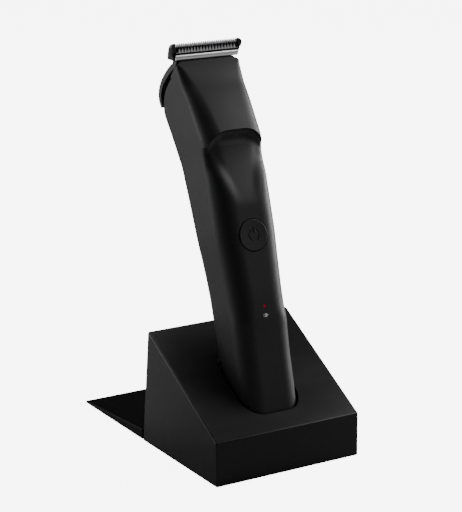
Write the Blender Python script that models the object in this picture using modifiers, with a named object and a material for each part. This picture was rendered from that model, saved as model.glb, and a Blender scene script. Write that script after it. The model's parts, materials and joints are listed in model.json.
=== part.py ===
"""A cordless hair clipper standing in a wedge-shaped charging stand.

The stand is a hollow black wedge with a thin plate running out behind it. A socket in
its slanted face holds the handset, which leans back. The handset is a two-part shell
around a battery, a circuit board and a motor whose eccentric pin drives the toothed
cutter from side to side in front of a fixed comb blade. The blade unit tips open on a
hook at the back of the head.

All sizes below are in millimetres, and MM turns them into metres. Stand coordinates run
x across from the middle, y back from the front face and z up from the table. Handset
coordinates share x, with z along the handset and y towards its back.
"""
import bpy
import bmesh
import numpy as np
from math import atan2, cos, pi, radians, sin
from mathutils import Vector

MM = 0.001
GAP = 0.3                    # between two pieces that touch on the real object

# Charging stand
STAND_WIDTH = 66.0
STAND_DEPTH = 113.5          # front face to the rear edge of the tail plate
FRONT_HEIGHT = 18.2
BACK_HEIGHT = 49.2
TOP_DEPTH = 54.6             # front face to the top edge at the back
FOOTPRINT_DEPTH = 60.7       # front face to the foot of the leaning back wall
STAND_WALL = 2.4
STAND_EDGE = 0.8             # rounding of the wedge's outer edges
BASE_LIFT = 0.3              # how far the rubber feet hold the base off the table
BASE_THICKNESS = 2.4
TAIL_FRONT_HEIGHT = 4.75
TAIL_REAR_HEIGHT = 1.2
FOOT_RADIUS = 3.5
FOOT_SUNK = 0.3
FOOT_X = 25.0
FOOT_Y_FRONT = 18.5
FOOT_Y_REAR = 101.0
STAND_BOSS_RADIUS = 3.2
STAND_BOSS_INSET = 6.5       # boss centre in from the outside of the side walls
STAND_BOSS_Y_FRONT = 9.0
STAND_BOSS_Y_REAR = 49.5
STAND_SCREW_LENGTH = 9.0
STAND_SCREW_RADIUS = 1.2
STAND_PILOT_RADIUS = 1.4

# Socket and its sprung contacts
HANDSET_LEAN = radians(16.0)
SOCKET_Y = 10.5
SOCKET_Z = 6.5
SOCKET_GAP = 0.9             # liner to handset
SOCKET_MOUTH_GAP = 1.2       # edge of the stand's opening to handset
LINER_WALL = 1.6
LINER_FLOOR_GAP = 0.6
CONTACT_X = 4.0
CONTACT_Y = -0.5
CONTACT_RADIUS = 0.9
TERMINAL_RADIUS = 1.3
COLLAR_RADIUS = 1.5
HOLDER_HALF_WIDTH = 7.5
HOLDER_DEPTH = 6.5
HOLDER_TOP_GAP = 0.3
HOLDER_HEIGHT = 6.0
SPRING_RADIUS = 1.15
SPRING_WIRE = 0.17
SPRING_TURNS = 3
WIRE_RADIUS = 0.45
INLET_Z = 11.5
INLET_BARREL_RADIUS = 4.0
INLET_BORE_RADIUS = 2.75
INLET_PIN_RADIUS = 0.65
INLET_BODY = 9.0             # width of the inlet's square body
INLET_BORE_DEPTH = 9.5

# Handset, along its own axis
HANDSET_WIDTH = 27.0         # across the middle, at the power button
SHELL_WALL = 1.8
HANDSET_BOTTOM = 6.0
SHOULDER_X = 11.3            # where the head's top edge starts to round down
SHOULDER_RADIUS = 3.4
SHELL_SPLIT = 9.0            # front surface back to the joint between the two shells
LEDGE_Z = 127.5              # middle of the thumb-rest ledge
SCOOP_START_Z = 97.0         # where the thumb rest begins to sink
SCOOP_DEEP_Z = 122.5         # where it is deepest, just under the ledge
SCOOP_DEPTH = 3.9
SCOOP_FADE = 8.0             # width over which the thumb rest runs out at each side
ARCH_START = 2.0             # half width of the ledge's level part
ARCH_DROP = 7.0              # how far the ledge curves down at the sides
CROWN = 0.7                  # how much further back the front lies at its sides
BUTTON_Z = 85.2
BUTTON_RADIUS = 6.3
BUTTON_PROUD = 0.25
BUTTON_FLANGE = 1.1          # how far the button's hidden rim reaches past its hole
BUTTON_TRAVEL = 0.6
RIM_SETBACK = 0.6            # inside of the shell to the front of the hidden rim
RIM_THICKNESS = 0.9
LED_Z = 56.9
LED_SIZE = 1.1
BATTERY_RADIUS = 7.0
BATTERY_LENGTH = 46.0
BATTERY_BOTTOM = 22.0
TAB_THICKNESS = 0.6
MOTOR_RADIUS = 7.2
MOTOR_BOTTOM = 99.0
MOTOR_LENGTH = 26.0
MOTOR_SKIN = 0.8
SHAFT_RADIUS = 0.75
SHAFT_TOP = 143.0
SWITCH_HEIGHT = 1.9          # board to the tip of the switch's plunger
BOARD_THICKNESS = 1.1
BOARD_HALF_WIDTH = 8.0
BOARD_BOTTOM = 45.0
BOARD_TOP = 93.5
SHELL_SCREW_Z = (14.0, 74.0)
SHELL_BOSS_RADIUS = 3.3
SHELL_SCREW_RADIUS = 1.0
SCREW_HEAD_RADIUS = 2.1
SCREW_HEAD_HEIGHT = 1.4

# Blade unit: across x, then y back from the cutter's face and z up from its foot
BLADE_TILT = radians(16.0)   # blade unit to the handset's axis
BLADE_Y = 7.9                # handset coordinates of the cutter's middle, at its foot
BLADE_Z = 156.75
HINGE_Y = 26.993             # handset coordinates of the hook the unit tips on
HINGE_Z = 142.043
COMB_WIDTH = 29.0            # across the fine teeth
COMB_TEETH = 29
COMB_GUARD = 1.7             # width of the broad guard at each end of the comb
GUARD_REACH = 1.4            # how far the guards stand in front of the cutter's middle
COMB_SLOT = 0.42
COMB_SLOT_FLOOR = 4.8
CUTTER_WIDTH = 28.6
CUTTER_TEETH = 19
CUTTER_THICKNESS = 0.8
CUTTER_STROKE = 0.9          # each way from the middle
BLADE_SCREW_X = 10.0
HOLDER_WIDTH = 26.4
CARRIER_HALF_WIDTH = 4.5
ECCENTRIC_OFFSET = 0.9
ECCENTRIC_PIN_RADIUS = 0.9
ECCENTRIC_DISC_RADIUS = 2.6
ECCENTRIC_DISC_HEIGHT = 1.9
ECCENTRIC_PIN_LENGTH = 4.8
YOKE_CLEARANCE = 0.2         # left when pin and cutter are at opposite ends

# Outline of the handset seen from the side and from the front, as (z, value)
FRONT = ((6, -3.5), (6.5, -4.4), (8, -5.1), (11, -5.6), (15, -5.95), (24, -6.6), (38, -7.1), (46, -7.8),
         (53, -8.5), (60, -8.5), (85, -8.15), (100, -8.1), (115, -8.2), (121.5, -8.2), (124.5, -7.8),
         (127.5, -6.8), (131, -5.4), (135, -3.9), (139.5, -2.0), (143, -0.3), (147.5, 2.2), (152, 4.4),
         (154.3, 5.6), (157.4, 7.3))
BACK = ((6, 11.0), (6.5, 12.3), (8, 13.6), (11, 14.8), (15, 15.4), (24, 16.4), (38, 17.5), (53, 18.1),
        (64, 18.2), (75, 18.6), (90, 19.9), (103, 21.4), (116, 23.1), (125, 24.2), (130.5, 25.0),
        (136, 26.2), (139, 26.6), (141.5, 26.0), (144.8, 24.1), (146.8, 22.6), (150, 18.3),
        (152.8, 13.0), (155, 9.7), (156.3, 8.5), (157.4, 8.1))
WIDENING = ((6, -3.7), (6.5, -2.6), (8, -1.7), (11, -1.35), (15, -1.3), (60, -1.15), (75, -0.6),
            (88, 0.0), (115, 0.0), (131, 0.3), (140, 0.5), (150, 0.9), (157.4, 1.1))
FRONT_CORNER = ((6, 7), (50, 7), (58, 8), (110, 8), (125, 7), (135, 6.2), (145, 5), (154, 2.5))
BACK_CORNER = ((6, 8), (115, 8), (122, 6.5), (131, 4.5), (141, 3), (156, 2.5))
# Rows of the shell's surface, closest together at the ledge, and of the hollow inside it
ROWS = (6, 6.5, 8, 11, 15, 24, 38, 46, 53, 60, 75, 88, 97, 103, 109, 115, 119, 122.5, 124.5, 126,
        127, 127.4, 127.5, 128.3, 131, 135, 139, 141.5, 144.8, 146.8, 150, 152.8, 155, 156.3, 157.4)
HOLLOW_ROWS = (8, 11, 15, 24, 38, 53, 60, 75, 88, 97, 103, 109, 115, 119, 122, 127.5, 131, 135, 139,
               141.5, 144.8, 146.8, 148.5)
THICKENING = ((97, 0), (109, 0.35), (115, 0.65), (119, 0.9), (122, 1), (127.4, 1), (127.5, 0.64),
              (131, 0.35), (135, 0.1), (139.5, 0))      # inside of the front, as a share of the scoop
SCOOP_REACH = ((97, 9), (110, 13), (118, 16), (124, 17.5))      # half width of the thumb rest
CROWN_SHARE = ((95, 0), (125, 1), (146, 1), (155, 0.3))
ARCH_SHARE = ((97, 0), (109, 0.3), (115, 0.7), (119, 1), (131, 1), (135, 0.6), (141.5, 0.15), (146, 0))


def table(values, z):
    """Read a (z, value) table at one z or at an array of them."""
    stations, numbers = zip(*values)
    return np.interp(z, stations, numbers)


# ---------------------------------------------------------------- scene and shared helpers

def clear_scene():
    for item in list(bpy.data.objects):
        bpy.data.objects.remove(item)


def new_collection(name, hidden=False):
    collection = bpy.data.collections.new(name)
    bpy.context.scene.collection.children.link(collection)
    collection.hide_render = hidden
    return collection


clear_scene()
PARTS = new_collection("hair_clipper")
CUTTERS = new_collection("cutters", hidden=True)


def make_material(name, colour, roughness, metallic=0.0):
    material = bpy.data.materials.new(name)
    material.use_nodes = True
    shader = material.node_tree.nodes["Principled BSDF"]
    shader.inputs["Base Color"].default_value = (*colour, 1.0)
    shader.inputs["Roughness"].default_value = roughness
    shader.inputs["Metallic"].default_value = metallic
    return material


def make_empty(name, location, lean=0.0, parent=None):
    empty = bpy.data.objects.new(name, None)
    empty.empty_display_size = 5 * MM
    empty.location = Vector(location) * MM
    empty.rotation_euler = (-lean, 0.0, 0.0)
    empty.parent = parent
    PARTS.objects.link(empty)
    return empty


def add_object(name, mesh, centre, parent, look=None):
    """Link a mesh as a named piece, or as a cutter when it has no look."""
    item = bpy.data.objects.new(name, mesh)
    item.location = Vector(centre) * MM
    item.parent = parent
    if look is None:
        CUTTERS.objects.link(item)
        item.hide_render = True
        item.display_type = "WIRE"
    else:
        PARTS.objects.link(item)
        mesh.materials.append(make_material(name, *look))
    return item


def finish_bmesh(name, solid, smooth):
    mesh = bpy.data.meshes.new(name)
    bmesh.ops.recalc_face_normals(solid, faces=solid.faces)
    solid.to_mesh(mesh)
    solid.free()
    if smooth:
        mesh.shade_smooth()
        mesh.set_sharp_from_angle(angle=radians(40))
    return mesh


def box(name, low, high, parent, look=None):
    """Box between two corners, in millimetres."""
    low = Vector(low)
    high = Vector(high)
    solid = bmesh.new()
    bmesh.ops.create_cube(solid, size=1.0)
    bmesh.ops.scale(solid, vec=(high - low) * MM, verts=solid.verts)
    return add_object(name, finish_bmesh(name, solid, False), (low + high) / 2, parent, look)


def cylinder(name, radius, start, end, parent, look=None, sides=32):
    """Closed cylinder between two points, in millimetres."""
    start = Vector(start)
    end = Vector(end)
    run = end - start
    solid = bmesh.new()
    bmesh.ops.create_cone(solid, cap_ends=True, segments=sides, radius1=radius * MM,
                          radius2=radius * MM, depth=run.length * MM)
    turn = Vector((0, 0, 1)).rotation_difference(run).to_matrix()
    bmesh.ops.rotate(solid, cent=(0, 0, 0), matrix=turn, verts=solid.verts)
    return add_object(name, finish_bmesh(name, solid, True), (start + end) / 2, parent, look)


def mesh_from_curve(name, curve):
    """Turn a curve with its filled ends into one welded mesh."""
    holder = bpy.data.objects.new(name, curve)
    bpy.context.scene.collection.objects.link(holder)
    graph = bpy.context.evaluated_depsgraph_get()
    solid = bmesh.new()
    raw = bpy.data.meshes.new_from_object(holder.evaluated_get(graph))
    solid.from_mesh(raw)
    bmesh.ops.remove_doubles(solid, verts=solid.verts, dist=0.001 * MM)
    bpy.data.objects.remove(holder)
    bpy.data.meshes.remove(raw)
    return solid


def plate(name, outline, low, high, parent, look=None, plane="yz", centre=(0, 0, 0)):
    """Flat outline in the yz or xz plane, carried from low to high across that plane."""
    curve = bpy.data.curves.new(name, "CURVE")
    curve.dimensions = "2D"
    curve.fill_mode = "BOTH"
    curve.extrude = (high - low) / 2 * MM
    spline = curve.splines.new("POLY")
    spline.points.add(len(outline) - 1)
    for point, (across, up) in zip(spline.points, outline):
        point.co = (across * MM, up * MM, 0, 1)
    spline.use_cyclic_u = True
    solid = mesh_from_curve(name, curve)
    middle = (low + high) / 2 * MM
    for vertex in solid.verts:
        across, up, along = vertex.co
        if plane == "yz":
            vertex.co = (along + middle, across, up)
        else:
            vertex.co = (across, middle - along, up)
    return add_object(name, finish_bmesh(name, solid, False), centre, parent, look)


def wire(name, points, radius, parent, look):
    """Round wire along straight runs between points."""
    curve = bpy.data.curves.new(name, "CURVE")
    curve.dimensions = "3D"
    curve.bevel_depth = radius * MM
    curve.bevel_resolution = 2
    curve.use_fill_caps = True
    spline = curve.splines.new("POLY")
    spline.points.add(len(points) - 1)
    for point, place in zip(spline.points, points):
        point.co = (*(Vector(place) * MM), 1)
    solid = mesh_from_curve(name, curve)
    return add_object(name, finish_bmesh(name, solid, True), (0, 0, 0), parent, look)


def loft(name, rings, parent, look=None):
    """Closed solid through a stack of rings with flat ends."""
    rows, points = rings.shape[:2]
    solid = bmesh.new()
    grid = [[solid.verts.new(point * MM) for point in ring] for ring in rings]
    for lower, upper in zip(grid, grid[1:]):
        for i in range(points):
            j = (i + 1) % points
            solid.faces.new((lower[i], lower[j], upper[j], upper[i]))
    solid.faces.new(grid[0][::-1])
    solid.faces.new(grid[-1])
    mesh = finish_bmesh(name, solid, True)
    return add_object(name, mesh, (0, 0, 0), parent, look)


def combine(target, other, operation="DIFFERENCE"):
    """Boolean one object with another, which is kept as a cutter."""
    modifier = target.modifiers.new(other.name, "BOOLEAN")
    modifier.operation = operation
    modifier.object = other


def round_edges(target, width, segments=3, angle=35):
    bevel = target.modifiers.new("rounded_edges", "BEVEL")
    bevel.width = width * MM
    bevel.segments = segments
    bevel.limit_method = "ANGLE"
    bevel.angle_limit = radians(angle)


# ---------------------------------------------------------------- shared shapes

STAND = make_empty("stand_frame", (0, -STAND_DEPTH / 2, 0))
SOCKET = make_empty("socket_frame", (0, SOCKET_Y, SOCKET_Z), HANDSET_LEAN, STAND)
HANDSET = make_empty("handset_frame", (0, SOCKET_Y, SOCKET_Z), HANDSET_LEAN, STAND)


def untilted(y, z):
    """A step in handset coordinates, as seen along the blade unit's own axes."""
    return (y * cos(BLADE_TILT) + z * sin(BLADE_TILT), z * cos(BLADE_TILT) - y * sin(BLADE_TILT))


HINGE = make_empty("blade_hinge", (0, HINGE_Y, HINGE_Z), -BLADE_TILT, HANDSET)
BLADES = make_empty("blade_frame", (0, *untilted(BLADE_Y - HINGE_Y, BLADE_Z - HINGE_Z)), 0, HINGE)
CUTTER_SLIDE = make_empty("cutter_slide", (0, 0, 0), 0, BLADES)

SLANT = atan2(BACK_HEIGHT - FRONT_HEIGHT, TOP_DEPTH)
STAND_HALF = STAND_WIDTH / 2
BASE_TOP = BASE_LIFT + BASE_THICKNESS


def scoop(z):
    """Depth of the thumb rest from 0 to 1: a smooth rise, then a quarter ellipse down to 0."""
    rise = np.clip((z - SCOOP_START_Z) / (SCOOP_DEEP_Z - SCOOP_START_Z), 0, 1)
    turn = np.clip((z - SCOOP_DEEP_Z) / (LEDGE_Z - SCOOP_DEEP_Z), 0, 1)
    return rise**1.6 * (2.6 - 1.6 * rise) * np.sqrt(1 - turn**2)


def section(z, grow=0.0, inner=False):
    """One ring of the handset: a rounded rectangle read from the outline tables.

    Its points sit at their own height: near the ledge the front ones drop with the arch,
    and the row then follows the ledge instead of cutting across it.
    """
    corner = np.linspace(0, pi / 2, 7)
    flat = np.linspace(-1, 1, 9)[1:-1]
    side = np.concatenate((np.ones(14), np.zeros(3), -np.ones(14), np.zeros(7)))
    front = np.concatenate((np.ones(7), np.zeros(17), np.ones(14)))
    turn_x = np.concatenate((np.sin(corner), np.cos(corner), np.zeros(3), -np.sin(corner),
                             -np.cos(corner), np.zeros(7)))
    turn_y = np.concatenate((-np.cos(corner), np.sin(corner), np.ones(3), np.cos(corner),
                             -np.sin(corner), -np.ones(7)))
    run = np.concatenate((np.zeros(14), (0.5, 0.0, -0.5), np.zeros(14), flat))

    def place(height):
        half = HANDSET_WIDTH / 2 + table(WIDENING, height) + grow
        low = table(FRONT, height) - grow
        if inner:
            low = low + SCOOP_DEPTH * table(THICKENING, height)
        high = table(BACK, height) + grow
        limit = np.minimum(0.48 * (high - low), half - 1)
        corner_front = np.minimum(np.maximum(table(FRONT_CORNER, height) + grow, 0.6), limit)
        corner_back = np.minimum(np.maximum(table(BACK_CORNER, height) + grow, 0.6), limit)
        radius = np.where(front > 0, corner_front, corner_back)
        x = side * (half - radius) + run * (half - radius) + turn_x * radius
        y = np.where(front > 0, low + radius, high - radius) + turn_y * radius
        return x, y, low, high

    heights = np.full(len(side), float(z))
    if not inner:
        x, y, low, high = place(heights)
        reach = np.maximum(np.abs(x) - ARCH_START, 0) / (HANDSET_WIDTH / 2 - ARCH_START)
        share = 1 - np.clip((y - low) / (high - low), 0, 1)
        heights = heights - ARCH_DROP * table(ARCH_SHARE, z) * share * np.minimum(reach, 1)**2
    x, y, low, high = place(heights)
    if not inner:
        edge = table(SCOOP_REACH, z)
        fade = np.clip((edge - np.abs(x)) / SCOOP_FADE, 0, 1)
        sink = SCOOP_DEPTH * scoop(z) * fade**2 * (3 - 2 * fade)
        sink = sink + CROWN * table(CROWN_SHARE, z) * (2 * x / HANDSET_WIDTH)**2
        y = y + sink * np.clip(1 - (y - low) / SHELL_SPLIT, 0, 1)
    return np.stack((x, y, heights), axis=1)


def body_loft(name, rows, grow, parent, look=None, inner=False):
    return loft(name, np.array([section(z, grow, inner) for z in rows]), parent, look)


def front_at(z):
    return float(table(FRONT, z))


def back_at(z):
    return float(table(BACK, z))


def wedge_outline(inset, floor):
    """Side view of the wedge, moved inwards by inset and cut off level at floor."""
    back_run = FOOTPRINT_DEPTH - TOP_DEPTH
    back_length = (back_run**2 + BACK_HEIGHT**2) ** 0.5
    top_drop = inset / cos(SLANT)
    back_shift = inset * back_length / BACK_HEIGHT

    def back_line(z):
        return FOOTPRINT_DEPTH - back_run * z / BACK_HEIGHT - back_shift

    slope = (BACK_HEIGHT - FRONT_HEIGHT) / TOP_DEPTH
    corner = (FRONT_HEIGHT - top_drop + slope * back_line(0)) / (1 + slope * back_run / BACK_HEIGHT)
    front_top = FRONT_HEIGHT - top_drop + slope * inset
    return [(inset, floor), (inset, front_top), (back_line(corner), corner), (back_line(floor), floor)]


# ---------------------------------------------------------------- looks

GLOSS_BLACK = ((0.012, 0.012, 0.013), 0.22)
BLACK = ((0.02, 0.02, 0.021), 0.45)
CHARCOAL = ((0.045, 0.045, 0.048), 0.5)
RUBBER = ((0.02, 0.02, 0.02), 0.85)
STEEL = ((0.62, 0.62, 0.63), 0.28, 1.0)
DARK_STEEL = ((0.3, 0.3, 0.31), 0.4, 1.0)
GOLD = ((0.83, 0.62, 0.25), 0.3, 1.0)
BOARD_GREEN = ((0.02, 0.13, 0.06), 0.5)
RED = ((0.6, 0.02, 0.02), 0.35)
WRAP_BLUE = ((0.03, 0.1, 0.3), 0.4)
MOTOR_METAL = ((0.5, 0.5, 0.5), 0.35, 1.0)
COPPER = ((0.7, 0.3, 0.15), 0.35, 1.0)
NYLON = ((0.6, 0.6, 0.58), 0.5)


# ---------------------------------------------------------------- charging stand

def boss_places():
    across = STAND_HALF - STAND_BOSS_INSET
    return [(x, y) for y in (STAND_BOSS_Y_FRONT, STAND_BOSS_Y_REAR) for x in (-across, across)]


def make_stand_shell():
    shell = plate("stand_shell", wedge_outline(0, BASE_LIFT), -STAND_HALF, STAND_HALF, STAND,
                  GLOSS_BLACK)
    round_edges(shell, STAND_EDGE)
    inner = STAND_HALF - STAND_WALL
    hollow = plate("stand_hollow", wedge_outline(STAND_WALL, -1), -inner, inner, STAND)
    for number, (x, y) in enumerate(boss_places(), 1):
        boss = cylinder(f"stand_boss_{number}", STAND_BOSS_RADIUS, (x, y, BASE_TOP + GAP),
                        (x, y, BACK_HEIGHT + 5), STAND)
        combine(hollow, boss)
    combine(shell, hollow)
    sill = box("stand_sill", (-inner, FOOTPRINT_DEPTH - 8, -1),
               (inner, FOOTPRINT_DEPTH + 2, BASE_TOP + GAP), STAND)
    combine(shell, sill)
    mouth = body_loft("stand_mouth", (12, 15, 24, 38, 46, 53, 60), SOCKET_MOUTH_GAP, SOCKET)
    combine(shell, mouth)
    inlet_hole = cylinder("inlet_hole", INLET_BARREL_RADIUS + GAP, (0, FOOTPRINT_DEPTH - 8, INLET_Z),
                          (0, FOOTPRINT_DEPTH + 5, INLET_Z), STAND)
    combine(shell, inlet_hole)
    for number, (x, y) in enumerate(boss_places(), 1):
        pilot = cylinder(f"stand_pilot_{number}", STAND_PILOT_RADIUS, (x, y, 0),
                         (x, y, STAND_SCREW_LENGTH + 2.5), STAND)
        combine(shell, pilot)


def make_stand_base():
    inner = STAND_HALF - STAND_WALL - GAP
    tail_start = FOOTPRINT_DEPTH + GAP
    tail = [(tail_start, BASE_LIFT), (tail_start, TAIL_FRONT_HEIGHT), (STAND_DEPTH, TAIL_REAR_HEIGHT),
            (STAND_DEPTH, BASE_LIFT)]
    base = plate("stand_base", tail, -STAND_HALF, STAND_HALF, STAND, GLOSS_BLACK)
    round_edges(base, 0.25, 2)
    floor = box("base_floor", (-inner, STAND_WALL + GAP, BASE_LIFT), (inner, tail_start + 3, BASE_TOP),
                STAND)
    combine(base, floor, "UNION")
    for side in (-1, 1):
        post = cylinder(f"board_post_{side + 2}", 1.6, (side * 11, TOP_DEPTH - 5, BASE_TOP - 0.5),
                        (side * 11, TOP_DEPTH - 5, BASE_TOP + 1.2), STAND)
        combine(base, post, "UNION")
    for number, (x, y) in enumerate(foot_places(), 1):
        recess = cylinder(f"foot_recess_{number}", FOOT_RADIUS + GAP, (x, y, 0),
                          (x, y, BASE_LIFT + FOOT_SUNK + GAP), STAND)
        combine(base, recess)
    for number, (x, y) in enumerate(boss_places(), 1):
        hole = cylinder(f"base_hole_{number}", STAND_PILOT_RADIUS, (x, y, 0), (x, y, BASE_TOP + 1), STAND)
        sink = cylinder(f"base_sink_{number}", SCREW_HEAD_RADIUS + GAP, (x, y, 0),
                        (x, y, BASE_LIFT + SCREW_HEAD_HEIGHT), STAND)
        combine(base, hole)
        combine(base, sink)


def foot_places():
    return [(x, y) for y in (FOOT_Y_FRONT, FOOT_Y_REAR) for x in (-FOOT_X, FOOT_X)]


def make_feet():
    for number, (x, y) in enumerate(foot_places(), 1):
        cylinder(f"stand_foot_{number}", FOOT_RADIUS, (x, y, 0), (x, y, BASE_LIFT + FOOT_SUNK), STAND,
                 RUBBER)


def make_screw(name, radius, head_radius, head_height, tip, seat, parent):
    """Slotted screw from its tip to the underside of its head, along y or z."""
    tip = Vector(tip)
    seat = Vector(seat)
    along = (seat - tip).normalized()
    top = seat + along * head_height
    screw = cylinder(name, radius, tip, seat + along * 0.2, parent, DARK_STEEL, 16)
    head = cylinder(f"{name}_head", head_radius, seat, top, parent, None, 24)
    combine(screw, head, "UNION")
    reach = Vector((head_radius * 1.2, 0.3, 0.3))
    for axis in (1, 2):
        if abs(along[axis]) > 0.5:
            reach[axis] = head_height / 2
    slot = box(f"{name}_slot", top - reach, top + reach, parent)
    combine(screw, slot)


def make_stand_screws():
    for number, (x, y) in enumerate(boss_places(), 1):
        seat = BASE_LIFT + SCREW_HEAD_HEIGHT - GAP
        make_screw(f"stand_screw_{number}", STAND_SCREW_RADIUS, SCREW_HEAD_RADIUS,
                   SCREW_HEAD_HEIGHT - GAP, (x, y, seat + STAND_SCREW_LENGTH), (x, y, seat), STAND)


def make_socket_liner():
    bottom = HANDSET_BOTTOM - LINER_FLOOR_GAP - LINER_WALL
    grow = SOCKET_GAP + LINER_WALL
    liner = body_loft("socket_liner", (bottom, 6, 6.5, 8, 11, 15, 24, 38, 46), grow, SOCKET, BLACK)
    leg_y = SOCKET_Y + 8
    leg_top = SOCKET_Z + bottom * cos(HANDSET_LEAN) - 9.5 * sin(HANDSET_LEAN) + 0.9
    for side in (-1, 1):
        leg = box(f"liner_leg_{side + 2}", (side * 8 - 1, leg_y, BASE_TOP + GAP),
                  (side * 8 + 1, leg_y + 3, leg_top), STAND)
        combine(liner, leg, "UNION")
    inner = body_loft("socket_hollow", (bottom + LINER_WALL, 6, 6.5, 8, 11, 15, 24, 38, 46, 53),
                      SOCKET_GAP, SOCKET)
    combine(liner, inner)
    depth = STAND_WALL + GAP
    middle = Vector((0, TOP_DEPTH / 2, (FRONT_HEIGHT + BACK_HEIGHT) / 2))
    normal = Vector((0, -sin(SLANT), cos(SLANT)))
    place = middle + normal * (30 - depth)
    roof = box("socket_roof", place - Vector((45, 60, 30)), place + Vector((45, 60, 30)), STAND)
    roof.rotation_euler = (SLANT, 0, 0)
    combine(liner, roof)
    for side in (-1, 1):
        hole = cylinder(f"liner_hole_{side + 2}", CONTACT_RADIUS + GAP, (side * CONTACT_X, CONTACT_Y, 0),
                        (side * CONTACT_X, CONTACT_Y, HANDSET_BOTTOM + 2), SOCKET)
        combine(liner, hole)


def holder_span():
    """Bottom and top of the contact holder, in handset coordinates."""
    top = HANDSET_BOTTOM - LINER_FLOOR_GAP - LINER_WALL - HOLDER_TOP_GAP
    return top - HOLDER_HEIGHT, top


def make_contact_holder():
    bottom, top = holder_span()
    front = CONTACT_Y - HOLDER_DEPTH / 2
    holder = box("contact_holder", (-HOLDER_HALF_WIDTH, front, bottom),
                 (HOLDER_HALF_WIDTH, front + HOLDER_DEPTH, top), SOCKET, NYLON)
    for side in (-1, 1):
        x = side * CONTACT_X
        bore = cylinder(f"contact_bore_{side + 2}", COLLAR_RADIUS + GAP, (x, CONTACT_Y, bottom + 0.8),
                        (x, CONTACT_Y, top - 1), SOCKET)
        guide = cylinder(f"contact_guide_{side + 2}", CONTACT_RADIUS + 0.2, (x, CONTACT_Y, top - 2),
                         (x, CONTACT_Y, top + 1), SOCKET)
        combine(holder, bore)
        combine(holder, guide)


def make_contacts():
    bottom, top = holder_span()
    collar_top = top - 1 - GAP
    collar_bottom = collar_top - 0.9
    for side, word in ((-1, "left"), (1, "right")):
        x = side * CONTACT_X
        pin = cylinder(f"contact_pin_{word}", CONTACT_RADIUS, (x, CONTACT_Y, collar_bottom),
                       (x, CONTACT_Y, HANDSET_BOTTOM - GAP), SOCKET, GOLD, 24)
        collar = cylinder(f"contact_collar_{word}", COLLAR_RADIUS, (x, CONTACT_Y, collar_bottom),
                          (x, CONTACT_Y, collar_top), SOCKET, None, 24)
        combine(pin, collar, "UNION")
        make_spring(f"contact_spring_{word}", x, bottom + 0.8 + GAP, collar_bottom - GAP)


def make_spring(name, x, low, high):
    count = SPRING_TURNS * 12 + 1
    low = low + SPRING_WIRE
    high = high - SPRING_WIRE
    points = []
    for i in range(count):
        angle = 2 * pi * i / 12
        points.append((x + SPRING_RADIUS * cos(angle), CONTACT_Y + SPRING_RADIUS * sin(angle),
                       low + (high - low) * i / (count - 1)))
    wire(name, points, SPRING_WIRE, SOCKET, STEEL)


def make_stand_electronics():
    rear = TOP_DEPTH + 0.4
    level = BASE_TOP + 1.5
    box("stand_circuit_board", (-16, rear - 11, level), (16, rear, level + 1.2), STAND, BOARD_GREEN)
    half = INLET_BODY / 2
    end = FOOTPRINT_DEPTH - (FOOTPRINT_DEPTH - TOP_DEPTH) * INLET_Z / BACK_HEIGHT - 0.3
    body_end = end - STAND_WALL - 1.0
    low = level + 1.2 + GAP
    inlet = box("dc_inlet", (-half, body_end - 9, low), (half, body_end, INLET_Z + half), STAND, BLACK)
    barrel = cylinder("inlet_barrel", INLET_BARREL_RADIUS, (0, body_end - 0.5, INLET_Z),
                      (0, end, INLET_Z), STAND)
    bore = cylinder("inlet_bore", INLET_BORE_RADIUS, (0, end - INLET_BORE_DEPTH, INLET_Z),
                    (0, end + 2, INLET_Z), STAND)
    seat = cylinder("inlet_pin_seat", INLET_PIN_RADIUS + 0.15, (0, end - INLET_BORE_DEPTH - 1, INLET_Z),
                    (0, end - 8, INLET_Z), STAND, None, 16)
    combine(inlet, barrel, "UNION")
    combine(inlet, bore)
    combine(inlet, seat)
    cylinder("inlet_pin", INLET_PIN_RADIUS, (0, end - INLET_BORE_DEPTH - 0.8, INLET_Z),
             (0, end - 1, INLET_Z), STAND, STEEL, 16)
    bottom = holder_span()[0]
    holder_back = CONTACT_Y + HOLDER_DEPTH / 2
    start_y = SOCKET_Y + holder_back * cos(HANDSET_LEAN) + (bottom + 2) * sin(HANDSET_LEAN) + 0.9
    run_z = BASE_TOP + 0.9
    for side, word, look in ((-1, "left", BLACK), (1, "right", RED)):
        x = side * 4.5
        run = [(x, start_y, run_z + 0.6), (x, start_y + 2.5, run_z), (x, rear - 14.5, run_z),
               (x, rear - 12.6, run_z + 1), (x, rear - 11.35, level + 0.6)]
        wire(f"stand_wire_{word}", run, WIRE_RADIUS, STAND, look)


# ---------------------------------------------------------------- handset shells

def split_outline(front_side):
    """Side view of the space in front of or behind the joint between the shells."""
    shift = -GAP / 2 if front_side else GAP / 2
    stations = (0, 8, 15, 24, 38, 53, 85, 115, 124, 127.5, 135, 143, 152, 162)
    line = [(front_at(z) + SHELL_SPLIT + shift, z) for z in stations]
    far = -40 if front_side else 60
    return line + [(far, stations[-1]), (far, stations[0])]


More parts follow.
